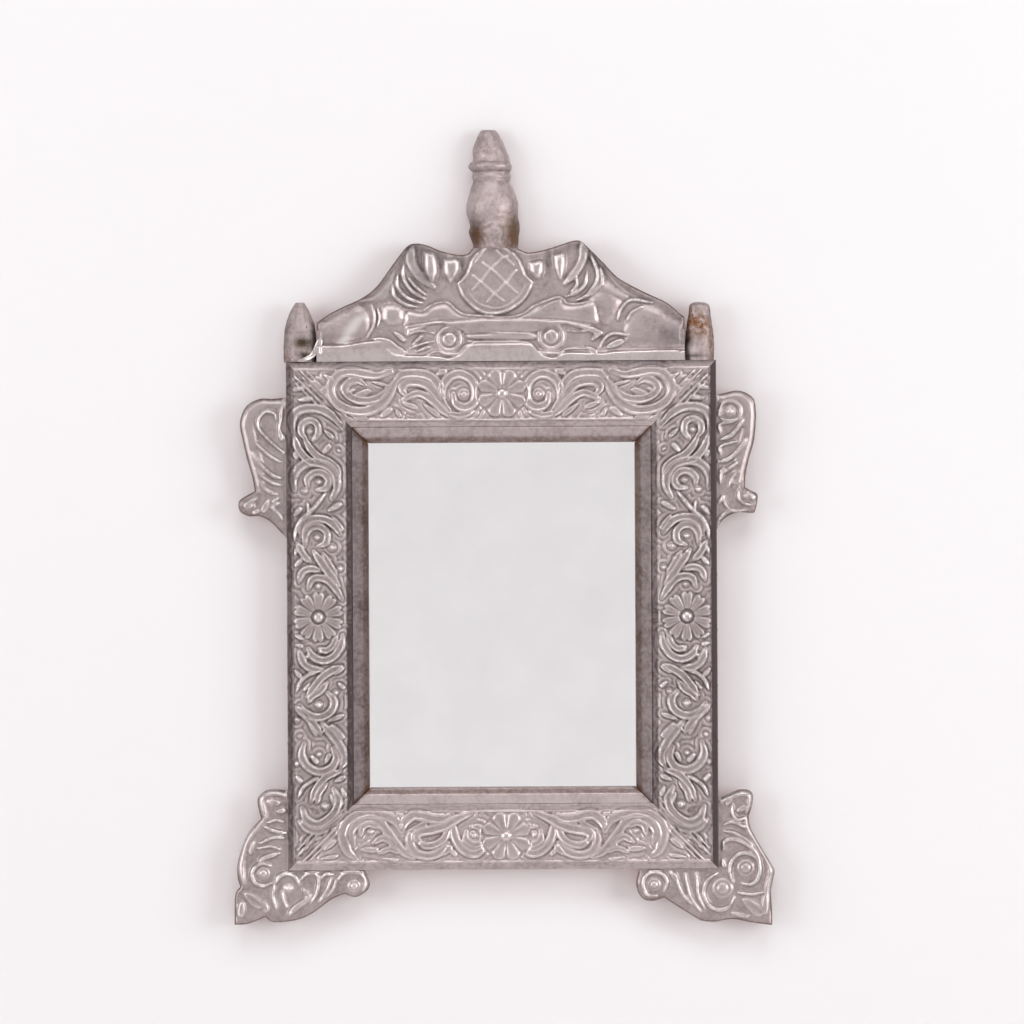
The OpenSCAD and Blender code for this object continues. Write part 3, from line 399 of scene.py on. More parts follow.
low_ribbons = [
    (2.2, [(-100, 38), (-106, 48), (-116, 54), (-130, 56), (-144, 55), (-155, 47), (-159, 34), (-155, 20), (-148, 13)]),
    (1.9, [(-149, 24), (-150, 38), (-144, 47), (-132, 51), (-122, 47), (-114, 37), (-106, 26), (-98, 17), (-88, 12)]),
    (1.5, [(-141, 34), (-139, 43), (-131, 46), (-124, 42)]),
    (1.6, [(-128, 27), (-120, 32), (-112, 29), (-106, 21)]),
    (1.3, [(-124, 17), (-112, 21), (-102, 17)]),
    (2.4, [(-100, 40), (-97, 48), (-90, 54), (-82, 54), (-70, 51), (-58, 51), (-51, 55)]),
    (2.3, [(-84, 28), (-86, 34), (-81, 38), (-70, 40), (-57, 44), (-47, 50), (-32, 56)]),
    (1.8, [(-54, 40), (-58, 32), (-66, 26), (-76, 24), (-84, 28)]),
    (2.0, [(-92, 39), (-93, 28), (-88, 18), (-76, 14), (-64, 17), (-55, 26)]),
    (2.1, [(-50, 46), (-48, 32), (-41, 21), (-29, 16), (-18, 21)]),
    (1.7, [(-32, 43), (-24, 42), (-19, 35), (-22, 27), (-30, 25), (-37, 30), (-37, 38)]),
]
low_leaves = [
    ((-141, 21), (-124, 20), 2.8), ((-93, 40), (-75, 47), 2.3), ((-60, 14), (-51, 24), 2.6),
    ((-57, 24), (-46, 14), 2.2), ((-178, 20), (-166, 30), 2.6), ((-180, 12), (-164, 14), 2.0),
    ((-162, 32), (-166, 44), 1.8), ((-106, 56), (-98, 53), 2.0), ((-120, 12), (-104, 10), 1.4),
]
low_buds = [((-29, 34), 4.0), ((-131, 38), 2.6)]
# Ornament of the left stile: in from the outer edge, then up from the middle.
stile_ribbons = [
    (2.2, [(7, 183), (6, 194), (10, 202), (20, 206), (34, 205), (45, 199), (53, 190)]),
    (1.7, [(20, 175), (15, 182), (16, 190), (23, 194), (30, 191), (32, 182), (27, 174)]),
    (1.9, [(18, 177), (24, 166), (32, 158), (42, 153), (50, 146), (53, 137)]),
    (2.0, [(8, 178), (12, 166), (20, 156), (30, 150)]),
    (2.2, [(8, 125), (7, 136), (11, 145), (19, 151), (30, 152), (42, 148), (49, 139), (50, 127), (45, 116)]),
    (1.8, [(21, 128), (21, 136), (28, 142), (37, 141), (42, 134), (39, 127), (30, 125)]),
    (2.0, [(14, 79), (16, 90), (25, 96), (37, 96), (46, 91), (53, 81)]),
    (1.8, [(18, 69), (19, 81), (25, 88), (34, 88), (40, 82), (39, 73), (31, 69)]),
    (1.8, [(11, 72), (16, 62), (23, 54)]),
    (2.0, [(27, 64), (35, 52), (43, 41), (51, 30)]),
    (1.6, [(36, 62), (43, 50), (49, 40)]),
    (1.8, [(12, 34), (16, 44), (24, 47), (33, 45)]),
    (1.9, [(21, 27), (25, 36), (32, 38), (41, 35), (49, 26), (55, 16)]),
    (2.0, [(55, -19), (53, -31), (46, -40), (36, -44), (26, -40), (21, -32)]),
    (1.6, [(49, -18), (46, -28), (39, -34), (32, -32)]),
    (1.9, [(12, -34), (16, -46), (24, -52), (35, -53)]),
    (2.0, [(54, -50), (44, -54), (34, -61), (26, -71), (20, -80)]),
    (2.1, [(12, -88), (18, -96), (27, -100), (36, -99), (44, -93), (46, -84), (40, -76)]),
    (1.7, [(39, -66), (33, -74), (25, -79), (21, -85)]),
    (1.7, [(8, -90), (17, -98), (27, -108), (33, -117)]),
    (2.1, [(34, -106), (44, -118), (52, -129), (57, -141), (53, -150)]),
    (2.1, [(16, -126), (14, -138), (19, -148), (30, -154), (42, -151), (48, -142), (45, -131)]),
    (1.8, [(52, -154), (42, -157), (34, -163), (27, -173), (23, -184)]),
    (2.1, [(14, -190), (18, -201), (28, -206), (38, -202), (47, -193), (50, -182), (45, -171)]),
    (1.8, [(11, -203), (20, -211), (32, -213), (44, -207), (54, -197)]),
    (1.7, [(38, -166), (31, -175), (29, -185)]),
]
stile_stems = [
    (2.1, [(39, 122), (32, 113), (23, 103), (14, 95), (9, 84), (8, 75)]),
    (2.0, [(9, -75), (13, -65), (21, -58), (29, -56)]),
    (2.0, [(10, -180), (15, -170), (24, -163), (31, -160)]),
]
stile_leaves = [
    ((6, 224), (20, 227), 2.0), ((12, 214), (27, 216), 2.4), ((36, 161), (44, 170), 2.4), ((38, 184), (47, 176), 2.2),
    ((7, 163), (11, 156), 2.2), ((41, 104), (55, 112), 2.6), ((45, 99), (56, 84), 2.8), ((7, 99), (15, 108), 2.3),
    ((21, 113), (22, 102), 1.5), ((8, 49), (15, 57), 2.2), ((8, 60), (10, 68), 1.6), ((8, -19), (17, -22), 2.4),
    ((8, -28), (16, -30), 2.0), ((7, -53), (14, -61), 2.2), ((46, -58), (56, -50), 2.5), ((50, -66), (57, -72), 2.0),
    ((40, -104), (56, -98), 2.3), ((43, -107), (56, -122), 2.9), ((20, -104), (29, -119), 1.9),
    ((46, -164), (57, -159), 2.4), ((53, -170), (57, -180), 2.0), ((8, -158), (14, -165), 2.0),
    ((22, -217), (16, -226), 2.0), ((26, -222), (34, -219), 1.8), ((13, -232), (20, -228), 1.8),
    ((23, -138), (30, -146), 2.4), ((37, -146), (42, -136), 2.2), ((42, -176), (47, -188), 2.0),
    ((22, -66), (16, -74), 1.6), ((33, -116), (44, -108), 1.6),
]
stile_buds = [
    ((23, 183), 2.6), ((18, 124), 2.8), ((32, 133), 2.6), ((45, 68), 3.6), ((42, 56), 2.2), ((53, 47), 2.8),
    ((31, 30), 2.8), ((52, 164), 1.6), ((30, 78), 2.6), ((20, -40), 2.6), ((31, -88), 3.4), ((48, -76), 2.8),
    ((9, -103), 2.8), ((12, -119), 2.2), ((9, -146), 2.6), ((37, -188), 3.2), ((33, -35), 2.2), ((31, -137), 2.4),
]
TOP, RIGHT, BOTTOM, LEFT = range(4)  # the frame's sides
stile_ornament = stile_ribbons, stile_leaves, stile_buds
ornament = {TOP: (top_ribbons, top_leaves, top_buds), BOTTOM: (low_ribbons, low_leaves, low_buds),
            LEFT: stile_ornament, RIGHT: stile_ornament}
flower_at = {TOP: (1, 32), RIGHT: (30, -2), BOTTOM: (3, 33), LEFT: (31, -1)}
flower_r = 18.6
# How dark each member is painted on its face, and how much darker on its fillet and on its outer lip: tarnish, and
# painted shade that keeps the stiles' flats darker than the rails', as their metal reflects less light.
member_tarnish_shade = {TOP: (0.13, -0.04, 1.2), RIGHT: (0.56, 0.56, 1.65), BOTTOM: (0.05, -0.04, 0.0),
                LEFT: (0.56, 0.86, 0.74)}


def member_point(side, along, inward):
    """Where a place on a member lies on the wall, from its place along the member and in from the outer edge."""
    if side in (TOP, BOTTOM):
        return along, (frame_top - inward) * (1 if side == TOP else -1)
    return (frame_side - inward) * (1 if side == RIGHT else -1), along


def chase_member(work, side):
    """Hammers the band of one member: scrolls, leaves, buds, the flower, the corner ribs and the edge lines."""
    rail = side in (TOP, BOTTOM)
    ribbons, leaves, buds = ornament[side]

    def seen(place, flip=1):
        """Where one of the layout's places lies on the wall. flip -1 mirrors a rail's left half."""
        if rail:
            return member_point(side, flip * place[0] * square, place[1] * square)
        return member_point(side, place[1] * square * half_h / drawn_half_h, place[0] * square)

    for flip in (1, -1) if rail else (1,):
        for half, points in ribbons:
            work.ribbon([seen(p, flip) for p in points], half * (1.9 if rail else 1.7), hollow=0.72)
        for a, b, half in leaves:
            work.leaf(seen(a, flip), seen(b, flip), half)
        for c, r in buds:
            work.bud(seen(c, flip), r)
    for half, points in () if rail else stile_stems:
        work.ribbon([seen(p) for p in points], half, relief_h * 1.05, ends=(0.4, 0.5))
    work.fold(relief_h * 0.5, 4.0)
    middle = np.array(seen(flower_at[side]))
    work.flower(middle, flower_r, 8 if rail else 10, 0.37 if rail else 0.3, lobes=not rail)
    reach, rib_places = half_w if rail else half_h, (band_from + 1, 25, band_to - 1)
    for end in (-1, 1):
        for off, half in ((3.6, 1.5), (8.2, 1.1)):
            rib = [member_point(side, end * (reach - inward - off), inward) for inward in rib_places]
            work.ribbon(rib, half, relief_h * 0.8)
    outer_line, inner_line = ((0.9, 1.1), (1.0, 1.6)) if rail else ((0.8, 0.4), (0.8, 0.6))
    for inward, (half, h) in ((band_from, outer_line), (band_to, inner_line)):
        line = [member_point(side, end * (reach - inward), inward) for end in (-1, 0, 1)]
        work.ribbon(line, half, h, ends=(1, 1))


def member_sheet(name, side, seed):
    """The front, the turned edge and the hidden underside of one member's sheet, as one closed shell."""
    rail = side in (TOP, BOTTOM)
    reach = half_w if rail else half_h
    turned_to, band_slope, band_sunk, skim = 20.3, 1.2, 0.32, 0.02
    # Rows run up the turned edge and over its rounded corner, across the face, and down a little at the bead.
    corner_in, corner_down = [0, 0, 0, 0, 0.12, 0.4], [turned_to, 13.0, 6.0, 1.2, 0.45, 0.12]
    inward = np.concatenate([corner_in, np.arange(0.8, face_w - 0.6, grid_step), [face_w - 0.35, face_w - 0.1]])
    turned = np.concatenate([corner_down, np.zeros(len(inward) - len(corner_in))])
    turned[-2:] = 0.04, 0.2
    turned = turned[:, None]
    count = int(2 * reach / grid_step)
    share = np.linspace(-1, 1, count)
    deep = np.repeat(inward[:, None], count, 1)
    x, z = member_point(side, share * (reach + sheet_t - deep), deep)
    work = Chasing(x, z)
    chase_member(work, side)
    heights, recess, rub_and_glint = work.finished()
    in_band = (deep > band_from - band_slope) & (deep < band_to + band_slope)
    heights = np.where(in_band, heights, 0)
    ground = unit(np.minimum(deep - band_from, band_to - deep) / band_slope)
    dents = wavy(x, z, seed, 16, 0.09) + wavy(x, z, seed + 9, 5, 0.05)
    y = face_y + turned + band_sunk * ground - heights + np.where(turned == 0, dents, 0)
    fillet, lip = unit((deep - band_to - 0.2) / 0.8), unit(1 - deep / 5)
    on_face, on_fillet, on_lip = member_tarnish_shade[side]
    tarnish_shade_sheen = on_face + on_fillet * fillet + on_lip * (lip if rail else unit(3 * lip))
    # Painted shade lines on the stiles: one where the lip meets the band, one where the fillet meets the bead.
    if not rail:
        tarnish_shade_sheen += 0.6 * peak(deep, band_from - 0.6, 0.5) + 0.4 * peak(deep, face_w - 0.4, 0.5)
    recess = unit(0.9 * recess + 0.12 * unit(1 - heights / 1.2) * ground)
    rub_and_glint = (0.8 if rail else 1.0) * rub_and_glint * in_band
    points = np.stack([x, y, z], -1).reshape(-1, 3)
    # The underside runs back along the wood: under the front, then down inside the turned edge.
    against = wood_y - skim
    under = (face_w - 0.1, against), (sheet_t - skim, against), (sheet_t - skim, face_y + turned_to)
    for inset, depth in under:
        bx, bz = member_point(side, share * (reach + sheet_t - inset), np.full(count, inset))
        points = np.vstack([points, np.stack([bx, np.full(count, depth), bz], -1)])
    rows = len(inward) + len(under)
    faces = grid_faces(rows, count)
    last = (rows - 1) * count
    faces += [[last + i, last + i + 1, i + 1, i] for i in range(count - 1)]
    faces += [[r * count for r in range(rows)], [r * count + count - 1 for r in reversed(range(rows))]]
    if side in (TOP, LEFT):
        faces = [f[::-1] for f in faces]
    hidden = np.zeros(len(under) * count)
    fields = {"recess": recess, "tarnish_shade_sheen": tarnish_shade_sheen, "rub_and_glint": rub_and_glint}
    values = {label: np.concatenate([field.ravel(), hidden]) for label, field in fields.items()}
    new_piece(name + "_embossed", points, faces, metal, "white_metal_sheet", values, replaces=[name])


for side, member in enumerate(("top_rail", "right_stile", "bottom_rail", "left_stile")):
    member_sheet(member + "_sheet", side, 11 + side)


# ---------------------------------------------------------------- Bead round the glass
# A wooden strip on each side of the glass, level outside and sloping to the glass, wrapped in the same sheet. The
# wraps were bent by hand, so they waver a little. They turn back to the glass, and stop just short at the mitres.
skin_low, skin_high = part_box("top_bead_skin")
bead_w, bead_rise, ledge_y = 10.8, 5.5, wood_y + 4.5
return_w, return_to = (skin_high.z - skin_low.z) / MM, skin_high.y / MM
outer_round, high_round, foot_round, level_to = 0.9, 2.6, 1.3, 6.2
mitre_gap, wrap_t = 0.5, 0.35


def bead_section(under):
    """The wrap's section, under mm below its outer side, as (in from its outer foot, up from the ledge)."""
    high, low = np.array([level_to, bead_rise - high_round]), np.array([bead_w - foot_round, foot_round])
    fall = np.arctan2(high[1] - low[1], low[0] - high[0])
    lean = np.arccos((high_round - foot_round) / np.hypot(*(low - high))) - fall

    def arc(c, r, start, end):
        turn = np.linspace(start, end, 7)
        return np.stack([c[0] + (r - under) * np.cos(turn), c[1] + (r - under) * np.sin(turn)], -1)

    foot = np.array([(under, 3.6)])
    shoulder = arc((outer_round, bead_rise - outer_round), outer_round, pi, pi / 2)
    level = np.stack([np.linspace(outer_round, level_to, 8)[1:-1], np.full(6, bead_rise - under)], -1)
    back_in, glass_at = return_w - under, ledge_y - return_to
    back = [(bead_w - under, 0.55 - under), (bead_w + 0.4 - under, 0.5 - under), (back_in - 0.15, 0.4 - under),
            (back_in, 0.1 - under), (back_in, -5), (back_in, glass_at)]
    return np.vstack([foot, shoulder, level, arc(high, high_round, pi / 2, lean), arc(low, foot_round, lean, 0), back])


bead_metal = white_metal("bead_white_metal", tarnish_and_shade_colour="#352729", polish=0.42, wax=0.12)


# How dark each bead is painted on its level, and how much darker on its slope: tarnish and painted shade, darker on the
# stiles, with a painted highlight on the bottom bead's level where the value is below zero.
bead_tarnish_shade_sheen = {TOP: (0.28, 0.35), RIGHT: (0.86, 0.3), BOTTOM: (-0.12, 0.35), LEFT: (0.95, 0.3)}


def bead_wrap(name, side, seed):
    reach = half_w if side in (TOP, BOTTOM) else half_h
    share = np.linspace(-1, 1, int(reach * 2 / 1.2))[None, :]
    grids = []
    for under in (0.0, wrap_t):
        across, rise = bead_section(under).T[:, :, None]
        inward = face_w - sheet_t + across
        along = share * (reach - mitre_gap - inward)
        x, z = member_point(side, along, inward + sheet_t + 0 * along)
        dents = (wavy(x, z, seed, 22, 0.1) + wavy(x, z, seed + 5, 6, 0.05) + 0.06) * unit(rise / bead_rise)
        grids.append(np.stack([x, ledge_y - rise + np.clip(dents, 0, 0.14), z], -1))
    points, faces = shell_between(*grids)
    if side in (TOP, LEFT):
        faces = [f[::-1] for f in faces]
    slope, ends = unit((across - level_to) / 2), unit((np.abs(share) - 0.97) / 0.03)
    on_level, on_slope = bead_tarnish_shade_sheen[side]
    # Painted shade: a dark line along the wrap's outer foot and a darker, browner slope. The last few mm at each mitre
    # end are darker and rustier.
    tarnish_shade_sheen = on_level + on_slope * slope + 0.2 * (across < 0.5) + 0.5 * ends
    values = {"tarnish_shade_sheen": np.tile(tarnish_shade_sheen.ravel(), 2), "rust": np.tile((0.35 * slope + 0.5 * ends).ravel(), 2)}
    new_piece(name + "_wrap", points, faces, bead_metal, "white_metal_sheet", values, replaces=[name])


for side, edge in enumerate(("top", "right", "bottom", "left")):
    bead_wrap(edge + "_bead_skin", side, 31 + side)


# ---------------------------------------------------------------- Glass, backing board and its pins
# Silvered float glass, with the board behind it: three-ply, cut with a handsaw, pinned all round and never painted.
silvered, tree = new_finish("silvered_mirror_glass")
place = add(tree, "ShaderNodeTexCoord").outputs["Object"]
haze = add(tree, "ShaderNodeTexNoise", {"Vector": place, "Scale": 1 / (45 * MM), "Detail": 3.0}).outputs["Fac"]
rough = add(tree, "ShaderNodeMapRange", {"Value": haze, "To Min": 0.0, "To Max": 0.03}).outputs["Result"]
stops = [(0.3, linear("#e0dcdd")), (0.7, linear("#dbd7d8"))]
colour = add(tree, "ShaderNodeValToRGB", {"Fac": haze}, stops).outputs["Color"]
shader = add(tree, "ShaderNodeBsdfPrincipled", {"Base Color": colour, "Metallic": 1.0, "Roughness": rough})
add(tree, "ShaderNodeOutputMaterial", {"Surface": shader.outputs[0]})
dress("mirror_glass", silvered)
plywood = sawn_wood("birch_plywood", 2, "#a98559", "#7d5c38", fibre=0.8, band=16.0)
dress("backing_board", plywood)


def plain_steel(name, code, rough_from, rust):
    """Drawn or stamped steel with a thin zinc plate: dull grey, faintly streaked, with rust starting in places."""
    finish, tree = new_finish(name)
    place = add(tree, "ShaderNodeTexCoord").outputs["Object"]
    grit = add(tree, "ShaderNodeTexNoise", {"Vector": place, "Scale": 1 / (0.7 * MM), "Detail": 3.0}).outputs["Fac"]
    patch = add(tree, "ShaderNodeTexNoise", {"Vector": place, "Scale": 1 / (6 * MM), "Detail": 4.0}).outputs["Fac"]
    spot = add(tree, "ShaderNodeMapRange",
               {"Value": patch, "From Min": 0.66 - rust, "From Max": 0.78 - rust}).outputs["Result"]
    colour = add(tree, "ShaderNodeMix", {"Factor": spot, "A": linear(code), "B": linear("#5b3a22")},
                 data_type="RGBA").outputs["Result"]
    rough = add(tree, "ShaderNodeMapRange",
                {"Value": grit, "To Min": rough_from, "To Max": rough_from + 0.25}).outputs["Result"]
    bare = add(tree, "ShaderNodeMath", {0: 1.0, 1: spot}, operation="SUBTRACT").outputs[0]
    bump = add(tree, "ShaderNodeBump", {"Height": grit, "Strength": 0.3, "Distance": 0.05 * MM}).outputs["Normal"]
    shader = add(tree, "ShaderNodeBsdfPrincipled",
                 {"Base Color": colour, "Metallic": bare, "Roughness": rough, "Normal": bump})
    add(tree, "ShaderNodeOutputMaterial", {"Surface": shader.outputs[0]})
    return finish


def fastener_tree(name, finish, sides, slotted):
    """Geometry Nodes: one nail or screw at each point of the base mesh, its head out along the point's aim. The
    head is a low cone with a dome on it, the shank a taper with so many sides. A slot is sawn across a screw."""
    tree = bpy.data.node_groups.new(name, "GeometryNodeTree")
    tree.interface.new_socket("Places", in_out="INPUT", socket_type="NodeSocketGeometry")
    for label in ("Head radius", "Head height", "Shank radius", "Shank length", "Slot width"):
        tree.interface.new_socket(label, in_out="INPUT", socket_type="NodeSocketFloat")
    tree.interface.new_socket("Fasteners", in_out="OUTPUT", socket_type="NodeSocketGeometry")
    given = add(tree, "NodeGroupInput").outputs
    head_r, head_h, shank_r, shank_l, slot_w = list(given)[1:6]
    part = {}
    for label, size, share in (("brim top", head_r, 0.8), ("brim height", head_h, 0.6), ("dome width", head_r, 0.79),
                               ("dome height", head_h, 0.4), ("dome up", head_h, 0.59), ("tip", shank_r, 0.12),
                               ("shank in head", head_h, 0.2), ("saw length", head_r, 3), ("saw up", head_h, 1.05)):
        part[label] = add(tree, "ShaderNodeMath", {0: size, 1: share}, operation="MULTIPLY").outputs[0]
    brim = add(tree, "GeometryNodeMeshCone", {"Vertices": 20, "Radius Bottom": head_r, "Radius Top": part["brim top"],
                                              "Depth": part["brim height"]}).outputs[0]
    ball = add(tree, "GeometryNodeMeshUVSphere", {"Segments": 20, "Rings": 10, "Radius": 1.0}).outputs[0]
    taper = add(tree, "GeometryNodeMeshCone",
                {"Vertices": sides, "Radius Bottom": part["tip"], "Radius Top": shank_r, "Depth": shank_l}).outputs[0]
    blade_size = add(tree, "ShaderNodeCombineXYZ",
                     {"X": part["saw length"], "Y": slot_w, "Z": head_h}).outputs[0]
    blade = add(tree, "GeometryNodeMeshCube", {"Size": blade_size}).outputs[0]
    dome_size = add(tree, "ShaderNodeCombineXYZ",
                    {"X": part["dome width"], "Y": part["dome width"], "Z": part["dome height"]}).outputs[0]
    down = add(tree, "ShaderNodeMath", {0: part["shank in head"], 1: shank_l}, operation="SUBTRACT").outputs[0]
    moved = []
    for shape, up, scale in ((ball, part["dome up"], dome_size), (taper, down, (1, 1, 1)),
                             (blade, part["saw up"], (1, 1, 1))):
        shift = add(tree, "ShaderNodeCombineXYZ", {"Z": up}).outputs[0]
        moved.append(add(tree, "GeometryNodeTransform",
                         {"Geometry": shape, "Translation": shift, "Scale": scale}).outputs[0])
    crown, shank, saw = moved
    whole = add(tree, "GeometryNodeMeshBoolean", operation="UNION", solver="EXACT")
    for piece in (brim, crown, shank):
        tree.links.new(piece, whole.inputs["Mesh 2"])
    whole = whole.outputs["Mesh"]
    if slotted:
        cut = add(tree, "GeometryNodeMeshBoolean", {"Mesh 1": whole}, operation="DIFFERENCE", solver="EXACT")
        tree.links.new(saw, cut.inputs["Mesh 2"])
        whole = cut.outputs["Mesh"]
    aim = add(tree, "GeometryNodeInputNamedAttribute", {"Name": "aim"}, data_type="FLOAT_VECTOR").outputs["Attribute"]
    upright = add(tree, "FunctionNodeAlignRotationToVector", {"Vector": aim}, axis="Z").outputs[0]
    twist = add(tree, "FunctionNodeRandomValue", {2: 0.0, 3: 2 * pi, "Seed": 7}, data_type="FLOAT").outputs[1]
    twist = add(tree, "FunctionNodeEulerToRotation",
                {0: add(tree, "ShaderNodeCombineXYZ", {"Z": twist}).outputs[0]}).outputs[0]
    driven = add(tree, "FunctionNodeRotateRotation", {"Rotation": upright, "Rotate By": twist},
                 rotation_space="LOCAL").outputs[0]
    placed = add(tree, "GeometryNodeInstanceOnPoints",
                 {"Points": given["Places"], "Instance": whole, "Rotation": driven}).outputs[0]
    solid = add(tree, "GeometryNodeRealizeInstances", {"Geometry": placed}).outputs[0]
    finished = add(tree, "GeometryNodeSetMaterial", {"Geometry": solid, "Material": finish}).outputs[0]
    add(tree, "NodeGroupOutput", {0: finished})
    return tree


def fasteners(node, places, aims, finish, head, shank, sides=4, slot=0.0):
    """Sets fasteners at places (mm) in the node's stead. head and shank are (radius, height or length) in mm."""
    base = bpy.data.meshes.new(node + "_places")
    base.from_pydata((np.array(places) * MM).tolist(), [], [])
    base.attributes.new("aim", "FLOAT_VECTOR", "POINT").data.foreach_set("vector", np.array(aims, np.float32).ravel())
    driven = bpy.data.objects.new(node + "_driven", base)
    bpy.context.scene.collection.objects.link(driven)
    maker = driven.modifiers.new("fasteners", "NODES")
    maker.node_group = fastener_tree(node + "_nodes", finish, sides, slot > 0)
    sizes = {"Head radius": head[0], "Head height": head[1], "Shank radius": shank[0], "Shank length": shank[1],
             "Slot width": slot}
    for item in maker.node_group.interface.items_tree:
        if item.name in sizes:
            maker[item.identifier] = sizes[item.name] * MM
    mesh = bpy.data.meshes.new_from_object(driven.evaluated_get(bpy.context.evaluated_depsgraph_get()))
    driven.modifiers.remove(maker)
    driven.data = mesh
    mesh.materials.clear()
    mesh.materials.append(finish)
    mesh.polygons.foreach_set("material_index", [0] * len(mesh.polygons))
    mesh.shade_smooth()
    mesh.set_sharp_from_angle(angle=radians(40))
    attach(driven, "frame")
    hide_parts(node)


nail_steel = plain_steel("drawn_steel_nails", "#8d8a86", 0.4, 0.12)
dress("mitre_nails", nail_steel)
# Pins round the board's edge, their heads just below its back, and tacks through the sheets' folded edges, along
# both stiles and under the bottom rail.
board_low, board_high = (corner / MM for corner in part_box("backing_board"))
from_edge, below_back = 20.1, 1.0
pin_x, pin_z, head_y = board_high.x - from_edge, board_high.z - from_edge, board_high.y - below_back
pins = [(hand * pin_x, head_y, k * board_high.z * 0.72) for hand in (-1, 1) for k in (-1, 0, 1)]
pins += [(k * board_high.x * 0.42, head_y, end * pin_z) for end in (-1, 1) for k in (-1, 1)]
fasteners("backing_pins", pins, [(0, 1, 0)] * len(pins), nail_steel, (1.5, 0.8), (0.78, 13))
tack_y = board_low.y - 6
tacks = [(hand * frame_side, tack_y, z) for hand in (-1, 1) for z in (-96, -54, -12, 30)]
tacks += [(x, tack_y, -frame_top) for x in (-66, -22, 22, 66)]
tack_aims = [(x / frame_side, 0, 0) if z > -frame_top else (0, 0, -1) for x, y, z in tacks]
fasteners("sheet_tacks", tacks, tack_aims, nail_steel, (1.5, 0.8), (0.58, 7.8))


# ---------------------------------------------------------------- Crest
# A carved board on the top rail, with the sheet beaten down over its front and folded round its edges: a latticed
# shield between gathered curtains, feathers at their sides, a beam with two bosses below, and plain swelling ends.
def outside(x, z, outline):
    """How far each place is outside a closed outline, below zero inside it, and the nearest place on it."""
    a = outline
    d = np.roll(outline, -1, axis=0) - a
    best, hit, inside = np.full(x.size, 1e9), np.zeros((x.size, 2)), np.zeros(x.size, bool)
    px, pz = x.ravel(), z.ravel()
    for (ax, az), (dx, dz) in zip(a, d):
        t = unit(((px - ax) * dx + (pz - az) * dz) / max(dx * dx + dz * dz, 1e-9))
        qx, qz = ax + t * dx, az + t * dz
        q = np.hypot(px - qx, pz - qz)
        closer = q < best
        best[closer] = q[closer]
        hit[closer] = np.stack([qx, qz], -1)[closer]
        if abs(dz) > 1e-9:
            crossing = ((az > pz) != (az + dz > pz)) & (px < ax + (pz - az) * dx / dz)
            inside ^= crossing
    return np.where(inside, -best, best).reshape(x.shape), hit.reshape(x.shape + (2,))


def plate(work, points, h, soft):
    """A raised plate with a closed smooth outline and rounded edges, soft mm wide."""
    ring = smooth([*points, points[0]], 4)[:-1]
    at = work.near(ring, 1)
    gap, _ = outside(work.x[at], work.z[at], ring)
    s = unit(-gap / soft)
    work.raise_to(at, h * (1 - (1 - s) ** 2) ** (0.5 if soft < 4 else 0.9))


